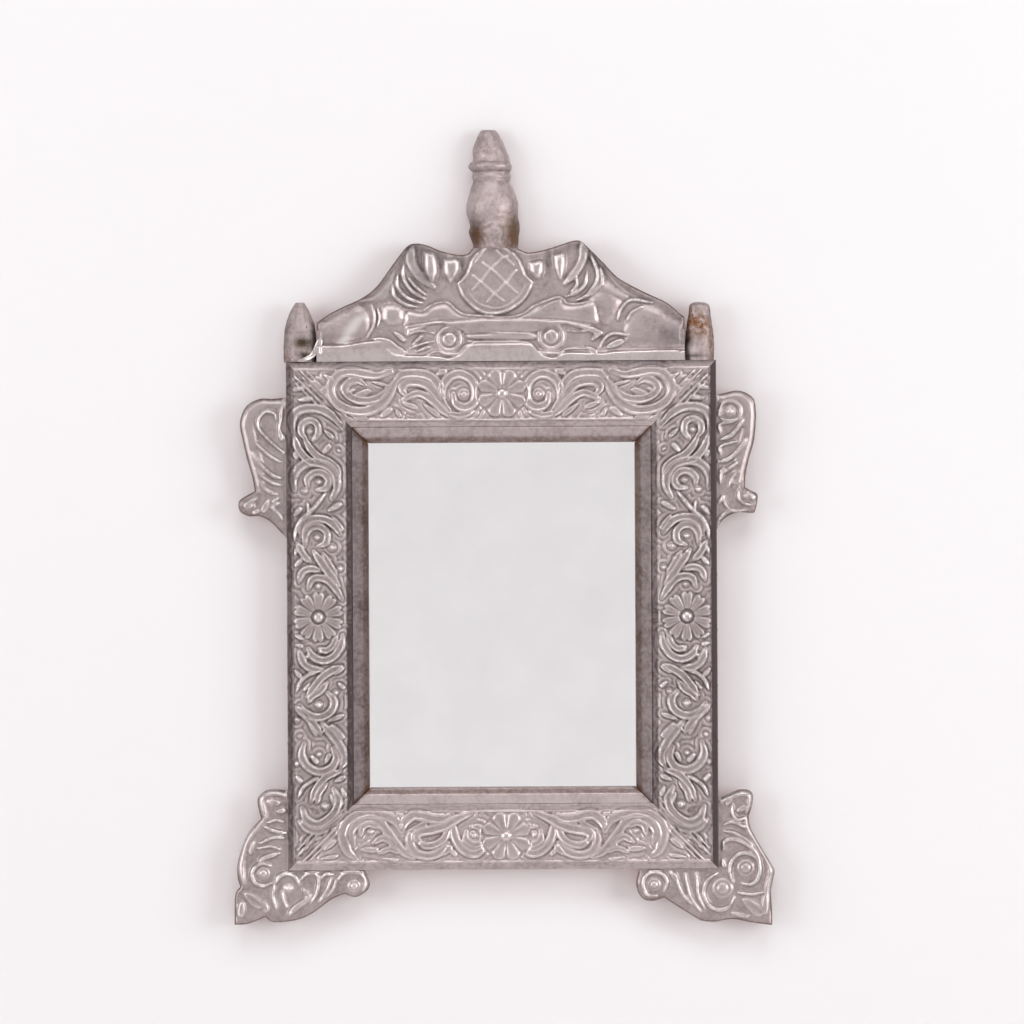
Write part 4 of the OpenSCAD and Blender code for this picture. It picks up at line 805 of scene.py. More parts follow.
def clad_board(name, outline, chase, seed, tarnish_shade_sheen_of, butted, tarnish=0.7):
    """The sheet over one carved board: the chased front, rounded edges, sides down to the back, and a closed inside.
    butted(x, z) says from 0 to 1 where the edge meets another piece squarely and isn't rounded."""
    edge = 2.6
    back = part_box(name)[1].y / MM - 0.05
    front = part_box(name.replace("sheet", "board"))[0].y / MM - sheet_t - 0.1
    (x0, z0), (x1, z1) = outline.min(0) - grid_step, outline.max(0) + grid_step
    x, z = np.meshgrid(np.arange(x0, x1 + grid_step, grid_step), np.arange(z0, z1 + grid_step, grid_step))
    gap, hit = outside(x, z, outline)
    work = Chasing(x, z)
    chase(work)
    heights, recess, rub_and_glint = work.finished()
    level = butted(x, z)
    turned = (edge - np.sqrt(np.clip(edge**2 - (edge - np.clip(-gap, 0, edge)) ** 2, 0, None))) * (1 - level)
    dents = wavy(x, z, seed, 14, 0.12) + wavy(x, z, seed + 3, 5, 0.06)
    y = front + turned - (heights + dents) * np.maximum(unit(-gap / 4), level)
    # The cells inside the outline are kept, and the rim of points round them moves out onto it.
    keep = gap < 0.45 * grid_step
    r, c = np.nonzero(keep[:-1, :-1] & keep[1:, :-1] & keep[:-1, 1:] & keep[1:, 1:])
    cols = x.shape[1]
    faces = np.stack([r * cols + c, r * cols + c + 1, (r + 1) * cols + c + 1, (r + 1) * cols + c], -1)
    sides = set(map(tuple, np.concatenate([faces[:, [i, (i + 1) % 4]] for i in range(4)]).tolist()))
    following = {a: b for a, b in sides if (b, a) not in sides}
    rim = [next(iter(following))]
    while following[rim[-1]] != rim[0]:
        rim.append(following[rim[-1]])
    points = np.stack([x, y, z], -1).reshape(-1, 3)
    points[rim, 0], points[rim, 2] = hit.reshape(-1, 2)[rim].T
    used = np.unique(faces)
    fresh = np.full(len(points), -1)
    fresh[used] = np.arange(len(used))
    shell, faces, rim = points[used], fresh[faces].tolist(), fresh[rim]
    # The sides go down in rings, turn in under the board's back edge, and close inside against the wood.
    brow, count, middle = front + edge, len(rim), shell[rim][:, [0, 2]]
    tangent = np.roll(middle, -3, axis=0) - np.roll(middle, 3, axis=0)
    normal = np.stack([-tangent[:, 1], tangent[:, 0]], -1) / np.linalg.norm(tangent, axis=1)[:, None]
    rings = [rim]
    for inset, depth in ((0, brow + 2.5), (0, (front + back) / 2 + 2), (0, back - 0.6), (0.25, back), (0.45, back),
                         (0.45, brow)):
        ring = middle + normal * inset
        rings.append(len(shell) + np.arange(count))
        shell = np.vstack([shell, np.stack([ring[:, 0], np.full(count, depth), ring[:, 1]], -1)])
    for a, b in zip(rings, rings[1:]):
        faces += np.stack([a, b, np.roll(b, -1), np.roll(a, -1)], -1).tolist()
    faces.append(rings[-1].tolist()[::-1])
    more = len(shell) - len(used)
    fields = ("recess", tarnish * recess, 0), ("tarnish_shade_sheen", tarnish_shade_sheen_of(x, z, gap), 0.6), ("rub_and_glint", 0.8 * rub_and_glint, 0)
    values = {label: np.concatenate([field.ravel()[used], np.full(more, inside)]) for label, field, inside in fields}
    new_piece(name + "_embossed", shell, faces, metal, "white_metal_sheet", values, replaces=[name])


def joined(*parts):
    """One outline of smooth lines that meet at corners. A part of one point is a corner by itself."""
    return np.vstack([smooth(part) if len(part) > 1 else part for part in parts])


crest_left = [(-138.75, 29.5), (-131, 35), (-120, 41), (-104.5, 48), (-93, 57), (-82, 72), (-71, 86), (-64, 89),
              (-55, 87.5), (-44, 83), (-32, 80.5), (-25, 81), (-21, 85)]
crest_right = [(13, 85), (21, 82), (32, 83.5), (44, 87), (55, 90.5), (61, 90), (66.5, 85), (78, 73.5), (88.5, 62.5),
               (104.5, 53.5), (116, 48), (126, 43), (138.5, 32.5)]
crest_outline = joined([(-138.75, 0.05)], crest_left, crest_right, [(138.5, 0.05)])[::-1]
crest_outline[:, 1] += frame_top
# Plates of the crest: height, how far in the rounded edge goes, outline. Squares from the middle of the frame's top.
crest_plates = [
    (2.9, 1.6, [(-190, -4), (-190, 15), (-157, 17), (-130, 21), (-116, 20), (-104, 8), (-64, 6), (-52, 4), (-40, 8),
        (-30, 17), (0, 18), (30, 17), (40, 8), (52, 4), (66, 9), (100, 8), (120, 10), (186, 10), (186, -4)]),
    (2.7, 3.0, [(-94, 33), (-52, 40), (-2, 43), (58, 41), (98, 32), (98, 24), (64, 36), (34, 28), (0, 29), (-34, 28),
        (-64, 38), (-92, 24)]),
    (2.4, 2.0, [(-34, 27), (0, 28), (34, 27), (32, 21), (0, 21), (-31, 22)]),
    (2.4, 10.0, [(-186, 34), (-160, 48), (-142, 56), (-132, 50), (-129, 38), (-133, 25), (-150, 20), (-186, 17)]),
    (2.6, 10.0, [(122, 18), (121, 32), (128, 48), (140, 57), (156, 52), (180, 36), (186, 24), (180, 13), (140, 12)]),
    (2.4, 3.0, [(-42, 77), (-33, 87), (-29, 96), (-26, 103), (-20, 111), (-4, 118), (10, 111), (17, 100), (24, 91),
        (32, 78), (27, 67.5), (18, 57), (6, 50), (-5, 47.5), (-17, 48.5), (-28, 55), (-37, 65)]),
    (3.0, 6.0, [(-96, 34), (-97, 46), (-92, 52), (-78, 50), (-70, 55), (-60, 58.5), (-52, 58), (-44, 51), (-36, 46.5),
        (-20, 45), (-2, 43), (-2, 39), (-52, 39), (-80, 36)]),
    (3.0, 6.0, [(-2, 43), (14, 44), (24, 48), (32, 54), (44, 59), (56, 63), (62, 61), (66, 57), (76, 57), (88, 60),
        (96, 58), (98, 50), (98, 38), (90, 35), (60, 39), (20, 39.5), (-2, 39)]),
    (3.3, 12.0, [(86, 60), (92, 70), (104, 76), (114, 70), (121, 58), (118, 44), (108, 34), (98, 38)]),
    (3.4, 8.0, [(-119, 50), (-116, 57), (-106, 58.5), (-96, 54), (-94, 44), (-98, 37), (-110, 35), (-118, 40)]),
    (3.6, 5.5, [(-77, 110), (-64, 108), (-61, 92), (-62, 84), (-67, 76), (-73, 81), (-77, 90)]),
    (3.6, 6.0, [(-57, 102), (-42, 103), (-39, 92), (-43, 82), (-50, 77), (-56, 84), (-58, 92)]),
    (3.6, 6.0, [(27, 99), (42, 101), (44, 90), (40, 81), (33, 82), (28, 88)]),
    (3.6, 6.0, [(51, 106), (64, 108), (66, 94), (62, 80), (56, 82), (52, 92)]),
    (2.6, 9.0, [(98, 84), (118, 72), (128, 62), (112, 58), (92, 60)]),
    (2.2, 8.0, [(-150, 60), (-128, 66), (-112, 84), (-104, 92), (-108, 70), (-122, 58)]),
    (2.2, 8.0, [(142, 62), (124, 70), (104, 90), (112, 74), (130, 62)]),
]
# Stems of the crest: half width and height in mm, and points in the same squares.
crest_ribbons = [
    (4.2, 2.2, [(-87, 113), (-89, 101), (-82, 87), (-67, 74)]),
    (4.2, 3.2, [(81, 116), (82, 104), (76, 90), (64, 77)]),
    (1.9, 2.7, [(-96, 96), (-96, 83), (-88, 70), (-75, 62)]),
    (1.9, 2.6, [(-102, 86), (-102, 74), (-92, 63), (-78, 58)]),
    (1.9, 2.5, [(-107, 76), (-105, 65), (-95, 57), (-84, 54)]),
    (1.7, 2.8, [(-92, 84), (-84, 74), (-74, 66)]),
    (1.9, 2.7, [(90, 104), (96, 88), (94, 76), (84, 64)]),
    (1.9, 2.6, [(99, 92), (101, 78), (92, 68), (76, 60)]),
    (1.9, 2.5, [(86, 88), (84, 76), (76, 68), (66, 64)]),
    (1.7, 2.8, [(74, 86), (76, 76), (70, 68)]),
    (1.1, 3.4, [(-75, 52), (-68, 56), (-60, 58.5), (-52, 58), (-44, 51), (-36, 46.5), (-20, 45), (-2, 43.5)]),
    (1.1, 3.4, [(-2, 43.5), (14, 44.5), (24, 48), (32, 54), (44, 59), (56, 63), (62, 61), (66, 57), (76, 56.5),
        (88, 59)]),
    (1.0, 3.3, [(38, 48), (42, 53), (52, 58), (61, 60)]),
    (0.9, 2.6, [(-94, 34), (-80, 36), (-66, 38), (-52, 39)]),
    (0.9, 2.5, [(-37, 28), (-17, 29), (-2, 28), (34, 27)]),
    (0.9, 2.4, [(-32, 20), (-2, 19), (31, 18)]),
    (0.8, 2.4, [(-44, 35), (-10, 37), (30, 37), (62, 38), (90, 35)]),
    (0.8, 2.4, [(66, 30), (80, 29), (98, 31)]),
    (0.8, 2.4, [(-92, 27), (-78, 30), (-66, 28)]),
    (1.3, 2.5, [(-79, 4), (-64, 10), (-54, 7), (-42, 8), (-35, 15), (-20, 19), (-2, 19), (27, 18), (35, 11), (44, 8),
        (58, 8), (66, 12), (86, 12)]),
    (1.5, 2.6, [(-128, 57), (-125, 47), (-126, 36), (-132, 24)]),
    (1.3, 2.6, [(-122, 54), (-120, 44), (-122, 34)]),
    (1.6, 2.8, [(116, 40), (120, 52), (130, 60), (150, 57)]),
    (1.3, 2.8, [(124, 38), (130, 48), (142, 54)]),
    (1.6, 3.5, [(-42, 77), (-37, 65), (-28, 55), (-17, 48.5), (-5, 47.5), (6, 50), (18, 57), (27, 67.5), (32, 78)]),
    (0.8, 3.2, [(-34, 76), (-30, 66), (-22, 57), (-12, 53), (-3, 52), (6, 54.5), (15, 61), (22, 70), (26, 80)]),
    (1.5, 3.3, [(-42, 77), (-35, 84), (-31, 92), (-28, 100), (-22, 108)]),
    (1.5, 3.3, [(32, 78), (25, 84), (22, 92), (18, 100), (12, 108)]),
    (2.0, 2.8, [(-126, 23), (-112, 21), (-102, 14), (-97, 8)]),
    (1.6, 2.8, [(98, 12), (103, 22), (113, 27), (130, 24)]),
    (1.2, 2.4, [(-90, 13), (-76, 18), (-66, 20)]),
]
crest_leaves = [
    ((-118, 20), (-94, 8), 3.4), ((-106, 30), (-94, 20), 2.4), ((-88, 16), (-78, 26), 1.8),
    ((-84, 10), (-70, 15), 1.6), ((104, 13), (122, 20), 3.2), ((90, 20), (100, 30), 2.4), ((84, 14), (96, 8), 2.2),
    ((90, 34), (98, 26), 2.0),
]
crest_bosses = [((-51, 22), 10.6, 4.0, True), ((50, 24), 11.2, 4.0, True), ((-10, 114), 3.4, 4.0, False)]
# The lattice on the shield: its ridges rising to the right, then those falling to the right.
shield_ridges = [
    [(-30, 68), (-19, 80), (-10, 90.5), (1, 100.5), (9, 105)],
    [(-16, 56), (-4.5, 67.5), (5, 77), (13, 87), (17, 91)],
    [(-25, 97), (-17, 109), (-10, 114)],
    [(-20, 99), (-12, 93), (-4.5, 87), (4, 78.5), (11, 71.5), (19, 65)],
    [(-5, 110.5), (2, 103.5), (6.5, 101), (14, 93.5)],
    [(-29, 86), (-23.5, 81), (-19.5, 78), (-12, 71.5), (-4.5, 64.5), (6, 57)],
]


def chase_crest(work):
    def seen(place):
        return np.array([place[0] * square, frame_top + place[1] * square])

    for h, soft, points in crest_plates:
        plate(work, [seen(p) for p in points], h, soft)
    for half, h, points in crest_ribbons:
        work.ribbon([seen(p) for p in points], half, h)
    for a, b, half in crest_leaves:
        work.leaf(seen(a), seen(b), half, 3.2)
    for c, r, h, ring in crest_bosses:
        work.bud(seen(c), r, h, ring)
    # A curl across the eye of each of the two bosses.
    for (c, *_), r in zip(crest_bosses, (5.0, 5.4)):
        curl = [seen(c) + turn for turn in ((-r, r * 0.3), (-r * 0.2, r * 0.5), (r * 0.2, -r * 0.5), (r, -r * 0.2))]
        work.ribbon(curl, 1.3, 4.4)
    work.fold(0.5, 8, fade=10)
    for points in shield_ridges:
        line = [seen(p) for p in points]
        work.ribbon(line, 0.9, 3.5, ends=(0.9, 0.9))
        work.ribbon(line, 2.6, 2.75)


def spot(x, up, at, size):
    """A soft spot, 1 in its middle: at and size are (across, up) in mm."""
    return peak(x, at[0], size[0]) * peak(up, at[1], size[1])


def patches(x, up, *spots):
    """The sum of soft spots, each given as (strength, at, size)."""
    return sum(strength * spot(x, up, at, size) for strength, at, size in spots)


# The crest's tarnish with painted shade and highlight: darker above the strip and within 7 mm of its upper edge,
# painted shade on the end mounds, darker on the outer slopes, and a little painted sheen on the strip.
def crest_tarnish_shade_sheen(x, z, gap):
    up = z - frame_top
    above_strip = up > 12
    rim = unit(1 + gap / 7) * above_strip
    slopes = unit(1 - np.abs(-gap - 4) / 7) * (up > 30) * (np.abs(x) > 40)
    ends = unit((np.abs(x) - 118) / 18) * unit(1 - np.abs(up - 14) / 22) * above_strip
    dark_patches = patches(
        x, up,
        (0.25, (-4, 88), (17, 8)),  # under the middle finial
        # Painted shade on the right end mound and in the gaps between the curtains' tubes; darker fields by the
        # feathers.
        (0.5, (127, 20), (9, 9)), (0.35, (66, 72), (9, 14)), (0.35, (-66, 58), (10, 14)),
        (0.9, (-61.5, 78), (2.2, 9)), (0.9, (-45.2, 76), (2.2, 9)), (0.9, (-28.5, 75), (2, 7)),
        (0.9, (36, 75), (2.8, 9)),
    )
    # Painted shade in the wedge beside the left curtain, and a painted highlight across the left end mound.
    tongue = spot(x + 0.5 * (up - 71), up, (-60, 71), (4, 15))
    painted_highlight = peak(x - 0.72 * (up - 25), -112, 6) * unit((38 - up) / 6) * (up > 14)
    dark = 0.28 * unit(up / 8 - 1) + 0.3 * rim + 0.5 * ends + 0.45 * slopes + 0.9 * tongue + dark_patches
    return unit(dark) - painted_highlight - 0.14 * (up < 10)


def crest_butted(x, z):
    up = z - frame_top
    ends = unit((np.abs(x) - 134.5) / 2) * (up < 24)
    under_finial = unit((17 - np.abs(x + 4)) / 2) * (up > 78)
    return np.maximum.reduce([unit(7 - up), ends, under_finial])


clad_board("crest_sheet", crest_outline, chase_crest, 51, crest_tarnish_shade_sheen, crest_butted)
board_wood = sawn_wood("carved_hardwood_board", 0, "#62452e", "#352113", fibre=1.4)
for part in ("crest_board", "left_foot_board", "right_foot_board", "left_ear_board", "right_ear_board",
             "crest_dowels", "foot_dowels"):
    dress(part, board_wood)


# ---------------------------------------------------------------- Finials
# Turned hardwood with the sheet beaten round it in upright facets and left duller than the rest. The middle one is
# half of a turning and leans to the left; its foot has gone brown. The left one is a bullet, the right a broken stub.
def turned(name, profile, seat, sweep, seed, inset, finish, slot, tarnish_shade_sheen_of, rust_of=None, chase=None, solid=False):
    """A turned shape or its skin. profile is (height, shift to the right, radius) in mm, sweep the angle turned
    through, and inset how far the surface lies inside the profile. chase hammers the front of it, and solid fills
    it back to the wall side."""
    half_round = sweep < 4
    height, shift, radius = smooth(profile, 5).T[:, :, None]
    turn = np.linspace(0.01, sweep - 0.01, 72 if half_round else 120)[None, :]
    facets, unrolled = 9 if half_round else 12, 14 * turn + 0 * height
    ridges = 0.3 * np.abs(np.sin(turn * facets / 2 + 0.25 * np.sin(height / 9)))
    beaten = ridges + wavy(height + 0 * turn, unrolled, seed, 9, 0.2) - 0.25
    grids = []
    for under in (inset, inset + 0.4):
        r = np.clip(radius + np.minimum(beaten, 0.25) * unit(radius / 8) - under, 0.05, None)
        up = np.minimum(height, height.max() - 0.02 - under)
        grids.append(np.stack([seat[0] + shift - r * np.cos(turn), seat[1] - r * np.sin(turn),
                               seat[2] + up + 0 * turn], -1))
    if chase:
        work = Chasing(grids[0][..., 0], grids[0][..., 2])
        chase(work)
        lift = spread(work.h, 1) * unit(np.sin(turn) * 2.5)
        for grid in grids:
            grid[..., 1] -= lift
    if solid:
        grids[1] = grids[0] * (1, 0, 1) + (0, seat[1] + 0.03, 0)
    points, faces = shell_between(*grids, wrap=not half_round)
    places = grids[0][..., 0] - seat[0], grids[0][..., 2] - seat[2]
    fields = {"tarnish_shade_sheen": tarnish_shade_sheen_of(*places), "rust": rust_of(*places) if rust_of else 0 * places[0]}
    values = {label: np.tile(np.clip(field, 0, 1.6).ravel(), 2) for label, field in fields.items()}
    new_piece(name + "_turned", points, faces, finish, slot, values, replaces=[name])


# Each finial's tarnish, painted shade and rust by place, (across, up) from the middle of its foot, and what is beaten
# into it.
def centre_grime(x, up):
    sides = patches(x, up, (1.2, (-15, 11), (7, 12)), (1.2, (15, 13), (8, 14)))
    return 0.22 + sides + 0.12 * unit(1 - up / 22) + 0.35 * peak(up, 58.5, 1.2) + 0.25 * peak(up, 51, 1)


def centre_rust(x, up):
    return patches(x, up, (0.9, (-14, 7), (6, 10)), (0.9, (14, 10), (7, 12)), (0.3, (8, 24), (7, 4)))


def centre_chase(work):
    work.bud((-4.2, 288.8), 7.4, 1.7, ring=False)
    for at in ((-7.2, 292.2), (-1.8, 291.6), (-7.0, 278.5), (-2.6, 280.6)):
        work.bud(at, 2.4, 2.3, ring=False)
    for x in (-12, -8, 0, 5):
        work.ribbon([(x, 284), (x * 0.9, 280.5), (x * 0.8 - 0.5, 277.5)], 1.3, 1.5)


def left_finial_tarnish_shade(x, up):
    # Painted shade in the hollow where the crest meets the finial, and down both sides of it.
    hollow = np.maximum(spot(x, up, (2.4, 14.5), (7.2, 4.2)), spot(x, up, (4.5, 4.5), (4.5, 3)))
    return 0.4 + 1.3 * hollow + 0.5 * unit(np.abs(x) / 9 - 0.6) + 0.3 * peak(up, 22.5, 1)


def left_rust(x, up):
    return patches(x, up, (0.8, (-11.5, 3), (3.5, 4)), (0.2, (3, 13), (6, 4)))


def left_chase(work):
    work.ribbon([(-139.2, 206), (-141.5, 200), (-146.3, 196), (-153, 193.8), (-161, 192.6)], 1.3, 1.0)
    work.ribbon([(-160, 200.5), (-153, 201), (-146, 199)], 1.4, 0.8)
    work.bud((-154, 208), 2.4, 1.0, ring=False)
    work.bud((-157, 196.5), 2.2, 0.9, ring=False)


def right_finial_tarnish_shade(x, up):
    # Painted shade in the notch where the crest meets the stub, and down both sides of it; lighter in two patches.
    notch = np.maximum(spot(x, up, (-9, 15), (4, 6)), spot(x, up, (-4, 3.2), (9, 1.2)))
    rubbed_and_highlight = patches(x, up, (0.3, (-3, 8), (5, 3.5)), (0.2, (0, 38), (5, 4)))
    return 0.46 + 0.8 * notch + 0.4 * unit(np.abs(x) / 8 - 0.6) - rubbed_and_highlight


def right_rust(x, up):
    return patches(x, up, (1.2, (1, 27), (11, 8)), (0.9, (-7, 30), (4, 11)), (0.8, (10, 12), (4, 12)))


def right_chase(work):
    for at in ((142, 201.5), (145.5, 203), (149, 202), (151.5, 199.5), (144, 198.8), (147.6, 198.6)):
        work.bud(at, 2.1, 0.9, ring=False)
    work.ribbon([(141, 217), (150, 218.6), (159, 216)], 1.5, 0.6)


finial_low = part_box("centre_finial_skin")[0]
centre_profile = [
    (0, 0.3, 17.3), (3.2, 0.3, 17.2), (8, -0.3, 18.2), (12.7, -0.75, 19.3), (17.1, -0.2, 18.7), (20.8, -0.7, 18.9),
    (26.3, -1.8, 19.5), (31.7, -2.1, 19.7), (37.2, -1.75, 18.9), (45.3, -2, 16.5), (51.2, -2.5, 14.1),
    (54.4, -2.5, 14.8), (57.5, -2.5, 14.1), (59.5, -3, 15.5), (62.5, -3.4, 16.7), (65, -3.2, 15.6),
    (66.3, -2.4, 14.3), (72.4, -3.45, 13.2), (77.1, -4.1, 12.1), (84, -4.35, 9.1), (88, -4.4, 6.9), (89.6, -4.6, 5.4),
    (89.9, -4.6, 4), (90, -4.6, 0.1),
]
centre_seat = (-4, -6.05, finial_low.z / MM)
beaten_metal = white_metal("beaten_white_metal", tarnish_and_shade_colour="#3f3425", polish=0.5, wax=0.15)
turned("centre_finial_skin", centre_profile, centre_seat, pi, 61, 0, beaten_metal, "white_metal_sheet", centre_grime,
       centre_rust, centre_chase)
turned("centre_finial", centre_profile, centre_seat, pi, 61, 0.45, board_wood, "bare_wood", centre_grime, solid=True)
left_profile = [(0, 12.3), (5, 12.5), (14, 12.4), (22, 11.9), (28, 11.0), (33.5, 9.2), (39, 6.9), (43, 4.6),
                (44.7, 3.5), (45, 2), (45, 0.1)]
right_profile = [(0, 10.6), (6, 11.2), (14, 11), (22, 10.3), (29, 9.4), (34, 8.5), (38, 8), (41, 7.5), (43, 6),
                 (43.9, 3), (44, 0.1)]
for name, outline, seed, fields in (("left_finial_skin", left_profile, 62, (left_finial_tarnish_shade, left_rust, left_chase)),
                                    ("right_finial_skin", right_profile, 63, (right_finial_tarnish_shade, right_rust, right_chase))):
    low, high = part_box(name)
    seat = ((low.x + high.x) / 2 / MM, (low.y + high.y) / 2 / MM, low.z / MM)
    turned(name, [(up, 0, r) for up, r in outline], seat, 2 * pi, seed, 0, beaten_metal, "white_metal_sheet", *fields)
for part in ("left_finial", "right_finial"):
    dress(part, stile_wood)
# Where the crest's sheet meets the left finial it is folded forward, and its lip curls round the finial's foot:
# a flat tongue, drawn as a ring of points round each place of a line.
lip_line = smooth([(-136.2, -21.6, 214), (-136.2, -21.8, 208), (-138.4, -21.8, 202), (-142.3, -22.6, 196.4),
                   (-149, -25.2, 193.4), (-157.5, -24.2, 193.3)])
lip_way = np.gradient(lip_line, axis=0)
lip_across = np.cross(lip_way, (0, -1, 0))
lip_across /= np.linalg.norm(lip_across, axis=1)[:, None]
lip_half = 2.5 * np.interp(np.linspace(0, 1, len(lip_line)), [0, 0.3, 0.8, 1], [0.5, 1, 0.8, 0.3])[:, None, None]
lip_turn = np.linspace(0, 2 * pi, 12, endpoint=False)[None, :, None]
lip_thick = 0.75 * np.sin(lip_turn) * np.array([0, -1, 0])
lip_rings = lip_line[:, None] + lip_half * np.cos(lip_turn) * lip_across[:, None] + lip_thick
index = np.arange(lip_rings[..., 0].size).reshape(lip_rings.shape[:2])
onward = np.roll(index, -1, axis=1)
faces = np.stack([index[:-1], index[1:], onward[1:], onward[:-1]], -1).reshape(-1, 4).tolist()
faces += [index[0].tolist(), index[-1].tolist()[::-1]]
# The whole lip is painted pale in patches, a painted highlight, with little tarnish.
values = {"tarnish_shade_sheen": np.full(index.size, 0.05), "rub_and_glint": np.full(index.size, 0.4)}
new_piece("left_finial_lip", lip_rings.reshape(-1, 3), faces, metal, "white_metal_sheet", values)


# ---------------------------------------------------------------- Ears
# Small carved brackets beside the stiles: a thick rim that curls in at the top, slanting flutes, and a rolled tail.
left_ear_outline = joined([(0, -26.5), (4, -27), (11, -27.5), (20, -27.5), (30, -33), (35, -45), (33, -58.5),
                           (29.5, -74), (26, -86), (24, -97)],
                          [(24, -97), (28.5, -99.5), (35, -103.5), (36.5, -108), (34.5, -113), (28.5, -116),
                              (20.5, -116), (12.5, -120), (5.5, -127), (0, -133)])
right_ear_outline = joined([(0, -26), (6, -25), (15, -23), (22, -24.5), (28.5, -29.5), (30, -38), (30, -46),
                            (28.5, -61), (24.5, -75), (22, -87), (21.5, -96)],
                           [(21.5, -96), (26, -98.5), (30.5, -101), (31, -105.5), (29, -114), (26.5, -115.5),
                               (17.5, -115), (10, -117), (4, -121.5), (0, -128)])
# Strokes: half width, height, points counted out from the stile and down from the top of the frame.
left_ear_strokes = [
    (5.2, 1.7, [(-4, -43), (14, -43), (27, -46), (35, -54), (38, -65), (35, -80), (30, -98), (27, -115), (25, -127)]),
    (1.7, 3.2, [(10, -57), (12, -51), (20, -49), (26, -54), (28, -63), (23, -71), (13, -81), (2, -90)]),
    (1.4, 2.4, [(4, -54), (7, -66), (1, -77)]),
    (1.7, 2.4, [(30, -80), (22, -88), (13, -95), (5, -99)]),
    (2.0, 2.8, [(35, -88), (28, -98), (20, -107), (12, -113), (5, -115)]),
    (1.7, 2.3, [(32, -104), (24, -113), (15, -119), (6, -122)]),
    (2.0, 2.2, [(28, -116), (20, -126), (10, -131)]),
    (1.6, 2.0, [(8, -140), (14, -144), (8, -150), (4, -156)]),
]
left_ear_leaves = [
    ((18, -136), (24, -149), 2.8), ((8, -134), (14, -140), 2.2), ((30, -134), (42, -144), 2.6),
    ((34, -150), (26, -146), 2.0), ((4, -44), (6, -58), 1.8), ((8, -66), (4, -78), 2.0),
]
left_ear_buds = [((37, -142), 4.6)]
right_ear_strokes = [
    (5.0, 1.7, [(-4, -38), (11, -38), (22, -38), (29, -44), (32, -54), (32, -66), (29, -82), (25, -98), (21, -114),
        (20, -126)]),
    (1.8, 2.4, [(4, -50), (8, -42), (17, -41), (24, -48), (22, -58), (12, -60), (5, -58)]),
    (1.6, 2.5, [(4, -73), (4, -64), (12, -62), (21, -60)]),
    (2.2, 2.8, [(4, -79), (14, -75), (21, -68), (27, -58)]),
    (1.6, 2.5, [(4, -94), (4, -86), (11, -83), (20, -81)]),
    (2.2, 2.8, [(2, -101), (12, -98), (21, -90), (31, -77)]),
    (1.9, 2.6, [(4, -122), (5, -113), (12, -108), (22, -101)]),
    (1.6, 2.4, [(12, -126), (16, -116), (23, -109)]),
    (1.7, 2.8, [(22, -128), (22, -137), (27, -142), (34, -144)]),
    (1.5, 2.2, [(5, -134), (10, -145), (18, -150), (30, -149)]),
    (1.4, 2.2, [(2, -158), (8, -152), (14, -150)]),
]
right_ear_leaves = [
    ((15, -122), (24, -120), 2.4), ((30, -130), (38, -138), 2.4), ((2, -142), (8, -134), 2.0),
    ((6, -42), (3, -56), 1.8), ((8, -106), (3, -112), 1.8),
]
right_ear_buds = [((29, -135), 3.4), ((14, -51), 4.0)]


def bracket(name, outline, hand, strokes, leaves, buds, edge_z, seed):
    """A clad bracket beside a stile: hand is -1 on the left and 1 on the right, and edge_z is the frame's edge that
    its places are counted from."""
    placed = np.stack([hand * (frame_side + outline[:, 0]), edge_z + outline[:, 1]], -1)
    x, z = placed.T
    if np.sum(x * np.roll(z, -1) - np.roll(x, -1) * z) < 0:  # clockwise
        placed = placed[::-1]

    def seen(place):
        return np.array([hand * (frame_side + place[0] * square), edge_z + place[1] * square])

    def chase(work):
        for half, h, points in strokes:
            work.ribbon([seen(p) for p in points], half, 0.85 * h)
        for a, b, half in leaves:
            work.leaf(seen(a), seen(b), half, 2.0)
        for c, r in buds:
            work.bud(seen(c), r, 2.0)

    def butted(x, z):
        off = np.hypot(np.clip(np.abs(x) - frame_side, 0, None), np.clip(np.abs(z) - frame_top, 0, None))
        return unit((3 - off) / 2)

    def tarnish_shade_sheen_of(x, z, gap):
        return (0.48 if edge_z > 0 else 0.36) + 0.35 * unit(1 + gap / 3) * (1 - butted(x, z))

    clad_board(name, placed, chase, seed, tarnish_shade_sheen_of, butted, tarnish=0.3)


bracket("left_ear_sheet", left_ear_outline, -1, left_ear_strokes, left_ear_leaves, left_ear_buds, frame_top, 71)
bracket("right_ear_sheet", right_ear_outline, 1, right_ear_strokes, right_ear_leaves, right_ear_buds, frame_top, 72)


# ---------------------------------------------------------------- Feet
# Larger brackets round the bottom corners: a curl and flutes beside the stile, a big scroll with a plain leaf
# tip outside it, an arched scroll at the corner, and more flutes that end in a rolled eye under the rail.
left_foot_outline = joined([(0, 0)], [(0, 60), (8, 61), (17, 60), (23, 54), (22, 45), (20.5, 39)],
                           [(20.5, 39), (31, 27), (38, 7.5), (38.5, -5), (36.5, -12)],
                           [(36.5, -12), (40.5, -19), (41, -41)], [(41, -41), (30, -40), (17.5, -35)],
                           [(17.5, -35), (12, -39), (-3.5, -38), (-17, -33), (-32.5, -22), (-42.5, -18)],
                           [(-42.5, -18), (-50, -20.5), (-58, -16.5), (-61, -11), (-57, 0)])
right_foot_outline = joined([(0, 0)], [(0, 52), (8, 55.5), (18, 59.5), (25.5, 57), (26, 49), (23, 39)],
                            [(23, 39), (25, 29), (36, 9.5), (42, -1), (41.5, -7), (39.5, -17)],
                            [(39.5, -17), (40.5, -41), (38.5, -43)],
                            [(38.5, -43), (24, -41), (10, -38.5), (-3, -40.5), (-13.5, -39.5)],
                            [(-13.5, -39.5), (-25, -32.5), (-41, -22)],
                            [(-41, -22), (-50, -24.5), (-58, -22), (-62, -12.5), (-59.5, 0)])
